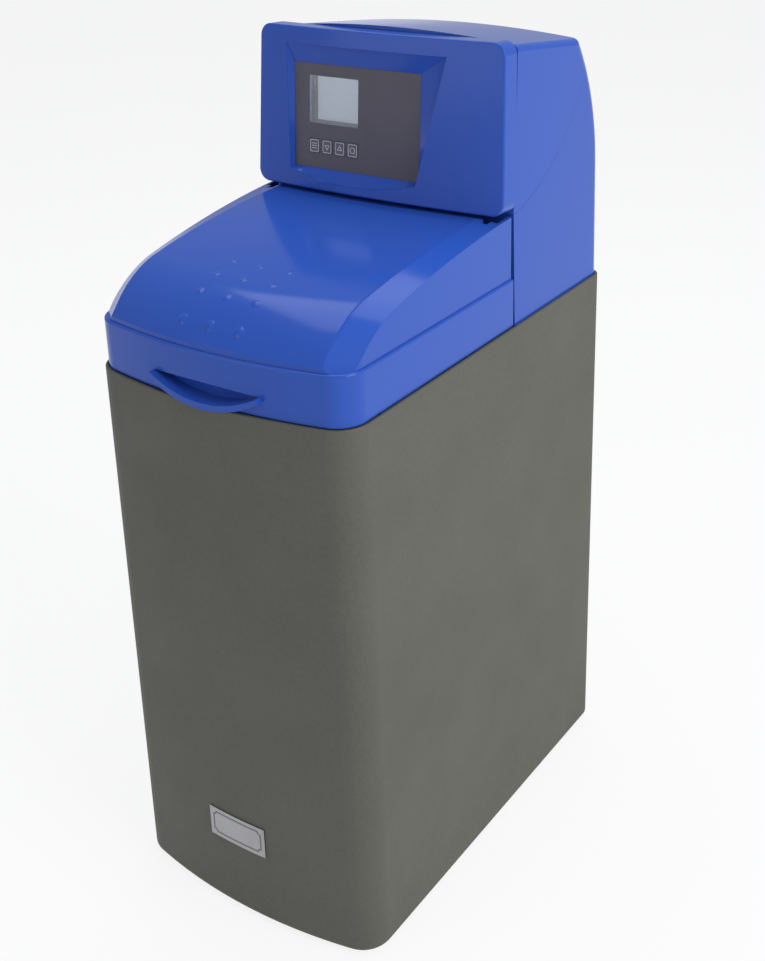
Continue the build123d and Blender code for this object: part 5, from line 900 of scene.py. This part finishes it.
@dataclass(frozen=True)
class Screws:
    """Cross-head screws on the drive plate, the meter cover and the rear shroud."""

    radius: float = 2.4 * MM
    height: float = 1.3 * MM
    rounding: float = height / 3
    rounding_segments: int = 3
    slot_length: float = 1.3 * radius
    slot_width: float = 0.6 * MM
    slot_depth: float = 0.8 * MM
    plate_inset: float = 5.0 * MM
    cover_ring: float = 11.4 * MM
    cover_count: int = 4
    rear_x: float = 88.0 * MM
    rear_z: float = 512.0 * MM

    def model(self, bench: Bench) -> bpy.types.Object:
        """Model one pan head, face up, with its cross.

        Args:
            bench: Bench to work on.

        Returns:
            The head.
        """
        head = bench.disc("screw", self.radius)
        bench.raise_up(head, self.height)
        bench.soften(head, self.rounding, self.rounding_segments)
        slot_floor = Matrix.Translation((0.0, 0.0, self.height - self.slot_depth))
        for turn in (0.0, pi / 2):
            blade = bench.rectangle("blade", self.slot_length, self.slot_width)
            bench.raise_up(blade, self.height)
            blade.data.transform(slot_floor @ Matrix.Rotation(turn, 4, "Z"))
            bench.cut(head, blade)
        return head

    def plate_places(self) -> list[Matrix]:
        """Find the corners of the drive plate, whose top edge runs further to the right.

        Returns:
            The places of its screws, which face the front.
        """
        low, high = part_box("drive_plate")
        inset = self.plate_inset
        left, bottom, top = low[0] + inset, low[2] + inset, high[2] - inset
        spots = [(left, bottom), (-left, bottom), (left, top), (high[0] - inset, top)]
        towards_front = Matrix.Rotation(pi / 2, 4, "X")
        return [Matrix.Translation((x, low[1], z)) @ towards_front for x, z in spots]

    def cover_places(self) -> list[Matrix]:
        """Find the places on the meter cover.

        Returns:
            The places of its screws, in a ring that faces right.
        """
        low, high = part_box("meter_cover")
        middle_y, middle_z = (low[1] + high[1]) / 2, (low[2] + high[2]) / 2
        towards_right = Matrix.Rotation(pi / 2, 4, "Y")
        step = 2 * pi / self.cover_count
        places = []
        for number in range(self.cover_count):
            angle = step / 2 + number * step
            across, up = self.cover_ring * cos(angle), self.cover_ring * sin(angle)
            spot = Matrix.Translation((high[0], middle_y + across, middle_z + up))
            places.append(spot @ towards_right)
        return places

    def shroud_places(self) -> list[Matrix]:
        """Find the places on the rear shroud.

        Returns:
            The places of its two screws, which face the rear.
        """
        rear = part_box("rear_shroud")[1][1]
        towards_rear = Matrix.Rotation(-pi / 2, 4, "X")
        return [
            Matrix.Translation((x, rear, self.rear_z)) @ towards_rear
            for x in (-self.rear_x, self.rear_x)
        ]

    def build(self, bench: Bench) -> None:
        """Set a screw at each place.

        Args:
            bench: Bench to work on.
        """
        head = self.model(bench)
        places = self.plate_places() + self.cover_places() + self.shroud_places()
        for number, place in enumerate(places):
            screw = bench.copy(head, f"screw_{number + 1}", place)
            bench.finish(screw, STEEL, "cabinet", "steel")
        bpy.data.objects.remove(head, do_unlink=True)


@dataclass(frozen=True)
class BoardParts:
    """Chip, capacitors and connector on the rear of the control board."""

    middle: Pair = (-21.5 * MM, 63.0 * MM)
    depth: float = 26.2 * MM
    chip: Size = (16.0 * MM, 10.0 * MM, 2.6 * MM)
    chip_rounding: float = 0.3 * MM
    chip_place: Pair = (12.0 * MM, 8.0 * MM)
    legs: int = 8
    leg: Size = (0.8 * MM, 14.0 * MM, 1.0 * MM)
    leg_rounding: float = 0.1 * MM
    can_radius: float = 4.0 * MM
    can_height: float = 9.0 * MM
    can_rounding: float = can_radius / 5
    can_segments: int = 3
    can_places: tuple[Pair, Pair] = ((-20.0 * MM, 16.0 * MM), (-32.0 * MM, 16.0 * MM))
    block: Size = (22.0 * MM, 9.0 * MM, 8.0 * MM)
    block_rounding: float = 0.5 * MM
    block_place: Pair = (-20.0 * MM, -22.0 * MM)

    def bar(self, bench: Bench, name: str, size: Size, rounding: float) -> bpy.types.Object:
        """Model a block with rounded edges, standing face up.

        Args:
            bench: Bench to work on.
            name: Name of the block.
            size: Width, depth and height.
            rounding: Width of the rounding.

        Returns:
            The block.
        """
        block = bench.rectangle(name, size[0], size[1])
        bench.raise_up(block, size[2])
        bench.soften(block, rounding)
        return block

    def chip_legs(self, bench: Bench) -> bpy.types.Object:
        """Model the row of legs that stands out on both sides of the chip.

        Args:
            bench: Bench to work on.

        Returns:
            The legs as one piece.
        """
        pitch = self.chip[0] / self.legs
        leg = self.bar(bench, "leg", self.leg, self.leg_rounding)
        legs = []
        for number in range(self.legs):
            across = (number - (self.legs - 1) / 2) * pitch
            legs.append(bench.copy(leg, "leg", Matrix.Translation((across, 0.0, 0.0))))
        row = bench.join("board_chip_legs", legs)
        bpy.data.objects.remove(leg, do_unlink=True)
        return row

    def build(self, bench: Bench, face: HeadFace) -> None:
        """Set the parts on the board.

        Args:
            bench: Bench to work on.
            face: Face that the board lies behind.
        """
        chip = self.bar(bench, "board_chip", self.chip, self.chip_rounding)
        legs = self.chip_legs(bench)
        can = bench.disc("board_can", self.can_radius)
        bench.raise_up(can, self.can_height)
        bench.soften(can, self.can_rounding, self.can_segments)
        twin = bench.copy(can, "board_can_2", Matrix.Identity(4))
        block = self.bar(bench, "board_connector", self.block, self.block_rounding)
        layout = [
            (chip, self.chip_place, VALVE_BLACK, "valve_black"),
            (legs, self.chip_place, STEEL, "steel"),
            (can, self.can_places[0], MOTOR_METAL, "motor_metal"),
            (twin, self.can_places[1], MOTOR_METAL, "motor_metal"),
            (block, self.block_place, WHITE_PLASTIC, "white_plastic"),
        ]
        for piece, offset, finish, slot in layout:
            across, up = self.middle[0] + offset[0], self.middle[1] + offset[1]
            piece.data.transform(face.place(across, up, self.depth, out=False))
            bench.finish(piece, finish, "hood", slot)


@dataclass(frozen=True)
class Lamp:
    """One soft rectangular lamp."""

    name: str
    place: Point
    size: Pair
    watts: float
    colour: Colour

    def hang(self, aim: Point) -> None:
        """Hang the lamp at its place.

        Args:
            aim: Point that it faces.
        """
        data = bpy.data.lights.new(self.name, "AREA")
        data.shape = "RECTANGLE"
        data.size, data.size_y = self.size
        data.energy = self.watts
        data.color = self.colour
        lamp = bpy.data.objects.new(self.name, data)
        turn = (Vector(aim) - Vector(self.place)).to_track_quat("-Z", "Y")
        lamp.matrix_world = Matrix.Translation(self.place) @ turn.to_matrix().to_4x4()
        bpy.context.scene.collection.objects.link(lamp)


@dataclass(frozen=True)
class Studio:
    """Camera, floor, world and lamps: a key on the right, a high soft box and a weak fill."""

    eye: Point = (0.657812, -0.928918, 0.937190)
    pitch: float = 1.180831
    roll: float = -0.040204
    yaw: float = 0.632695
    focal_px: float = 1401.8246
    centre_px: Pair = (346.037, 342.509)
    frame_px: Pair = (765.0, 961.0)
    sensor_mm: float = 36.0
    clip: Pair = (0.05, 60.0)
    floor_half: float = 14.0
    floor_colour: Colour = (0.86, 0.86, 0.87)
    floor_white: float = 0.85
    sky_colour: Colour = (0.93, 0.96, 1.0)
    sky_strength: float = 0.42
    sky_in_gloss: float = 0.05
    aim: Point = (0.0, 0.0, 0.4)
    lamps: tuple[Lamp, ...] = (
        Lamp("key_right", (2.3, -0.2, 1.6), (1.6, 1.8), 47.0, (1.0, 0.98, 0.95)),
        Lamp("top_soft", (-0.3, 0.5, 2.7), (2.2, 1.6), 27.0, (0.97, 0.98, 1.0)),
        Lamp("front_fill", (-1.2, -2.4, 1.2), (1.4, 1.6), 9.0, (0.95, 0.97, 1.0)),
    )

    def camera(self) -> None:
        """Add the camera at the photograph's viewing angle."""
        width, height = self.frame_px
        data = bpy.data.cameras.new("camera")
        data.sensor_fit = "VERTICAL"
        data.sensor_height = self.sensor_mm
        data.sensor_width = self.sensor_mm
        data.lens = self.focal_px * self.sensor_mm / height
        data.shift_x = (width / 2 - self.centre_px[0]) / height
        data.shift_y = (self.centre_px[1] - height / 2) / height
        data.clip_start, data.clip_end = self.clip
        camera = bpy.data.objects.new("camera", data)
        turn = Matrix.Rotation(self.yaw, 4, "Z") @ Matrix.Rotation(self.pitch, 4, "X")
        turn = turn @ Matrix.Rotation(self.roll, 4, "Z")
        camera.matrix_world = Matrix.Translation(self.eye) @ turn
        bpy.context.scene.collection.objects.link(camera)
        bpy.context.scene.camera = camera

    @staticmethod
    def _show_white(
        tree: bpy.types.NodeTree,
        lit: bpy.types.Node,
        white: bpy.types.Node,
        output: bpy.types.Node,
        shares: dict[str, float],
    ) -> None:
        """Show white to the rays that only look at the backdrop, and the lit shader to the rest.

        Args:
            tree: Node tree to add to.
            lit: Shader that lights the object or takes its shadow.
            white: Shader that is seen instead.
            output: Output of the tree.
            shares: How much of the white each kind of ray sees.
        """
        white.inputs["Color"].default_value = (1.0, 1.0, 1.0, 1.0)
        white.inputs["Strength"].default_value = 1.0
        path = tree.nodes.new("ShaderNodeLightPath")
        seen = None
        for ray, share in shares.items():
            part = tree.nodes.new("ShaderNodeMath")
            part.operation = "MULTIPLY"
            part.inputs[1].default_value = share
            tree.links.new(path.outputs[ray], part.inputs[0])
            if seen is None:
                seen = part.outputs[0]
            else:
                either = tree.nodes.new("ShaderNodeMath")
                either.operation = "MAXIMUM"
                tree.links.new(seen, either.inputs[0])
                tree.links.new(part.outputs[0], either.inputs[1])
                seen = either.outputs[0]
        mix = tree.nodes.new("ShaderNodeMixShader")
        tree.links.new(seen, mix.inputs["Fac"])
        tree.links.new(lit.outputs[0], mix.inputs[1])
        tree.links.new(white.outputs[0], mix.inputs[2])
        tree.links.new(mix.outputs[0], output.inputs["Surface"])

    def floor(self) -> None:
        """Add the pale floor, which looks nearly white and keeps the object's shadow."""
        bpy.ops.object.select_all(action="DESELECT")
        bpy.ops.mesh.primitive_plane_add(size=2 * self.floor_half, location=(0.0, 0.0, 0.0))
        floor = bpy.context.active_object
        floor.name = "floor"
        material = bpy.data.materials.new("floor_pale")
        material.use_nodes = True
        tree = material.node_tree
        tree.nodes.clear()
        matte = tree.nodes.new("ShaderNodeBsdfDiffuse")
        matte.inputs["Color"].default_value = (*self.floor_colour, 1.0)
        white = tree.nodes.new("ShaderNodeEmission")
        output = tree.nodes.new("ShaderNodeOutputMaterial")
        rays = ("Is Camera Ray", "Is Glossy Ray", "Is Transmission Ray")
        self._show_white(tree, matte, white, output, dict.fromkeys(rays, self.floor_white))
        floor.data.materials.append(material)

    def world(self) -> None:
        """Set the world: soft cool light on the object, and white behind it."""
        world = bpy.data.worlds.new("studio")
        world.use_nodes = True
        tree = world.node_tree
        tree.nodes.clear()
        soft = tree.nodes.new("ShaderNodeBackground")
        soft.inputs["Color"].default_value = (*self.sky_colour, 1.0)
        soft.inputs["Strength"].default_value = self.sky_strength
        white = tree.nodes.new("ShaderNodeBackground")
        output = tree.nodes.new("ShaderNodeOutputWorld")
        shares = {
            "Is Camera Ray": 1.0,
            "Is Glossy Ray": self.sky_in_gloss,
            "Is Transmission Ray": 1.0,
        }
        self._show_white(tree, soft, white, output, shares)
        bpy.context.scene.world = world

    def build(self) -> None:
        """Build the whole stage and set the view transform."""
        self.camera()
        self.floor()
        self.world()
        for lamp in self.lamps:
            lamp.hang(self.aim)
        bpy.context.scene.view_settings.view_transform = "Standard"
        log.info("stage is set")


def main() -> None:
    """Build the stage and the looks of every piece."""
    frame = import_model()
    paint = Paint()
    Studio().build()
    paint.carried_nodes(frame["nodes"])
    bench, face = Bench(paint), HeadFace()
    KeyPrints().build(bench, face)
    ScreenBezel().build(bench, face)
    PlateBorder().build(bench, CabinetBow())
    Screws().build(bench)
    BoardParts().build(bench, face)


if __name__ == "__main__":
    logging.basicConfig(level=logging.INFO, format="%(name)s: %(message)s")
    main()
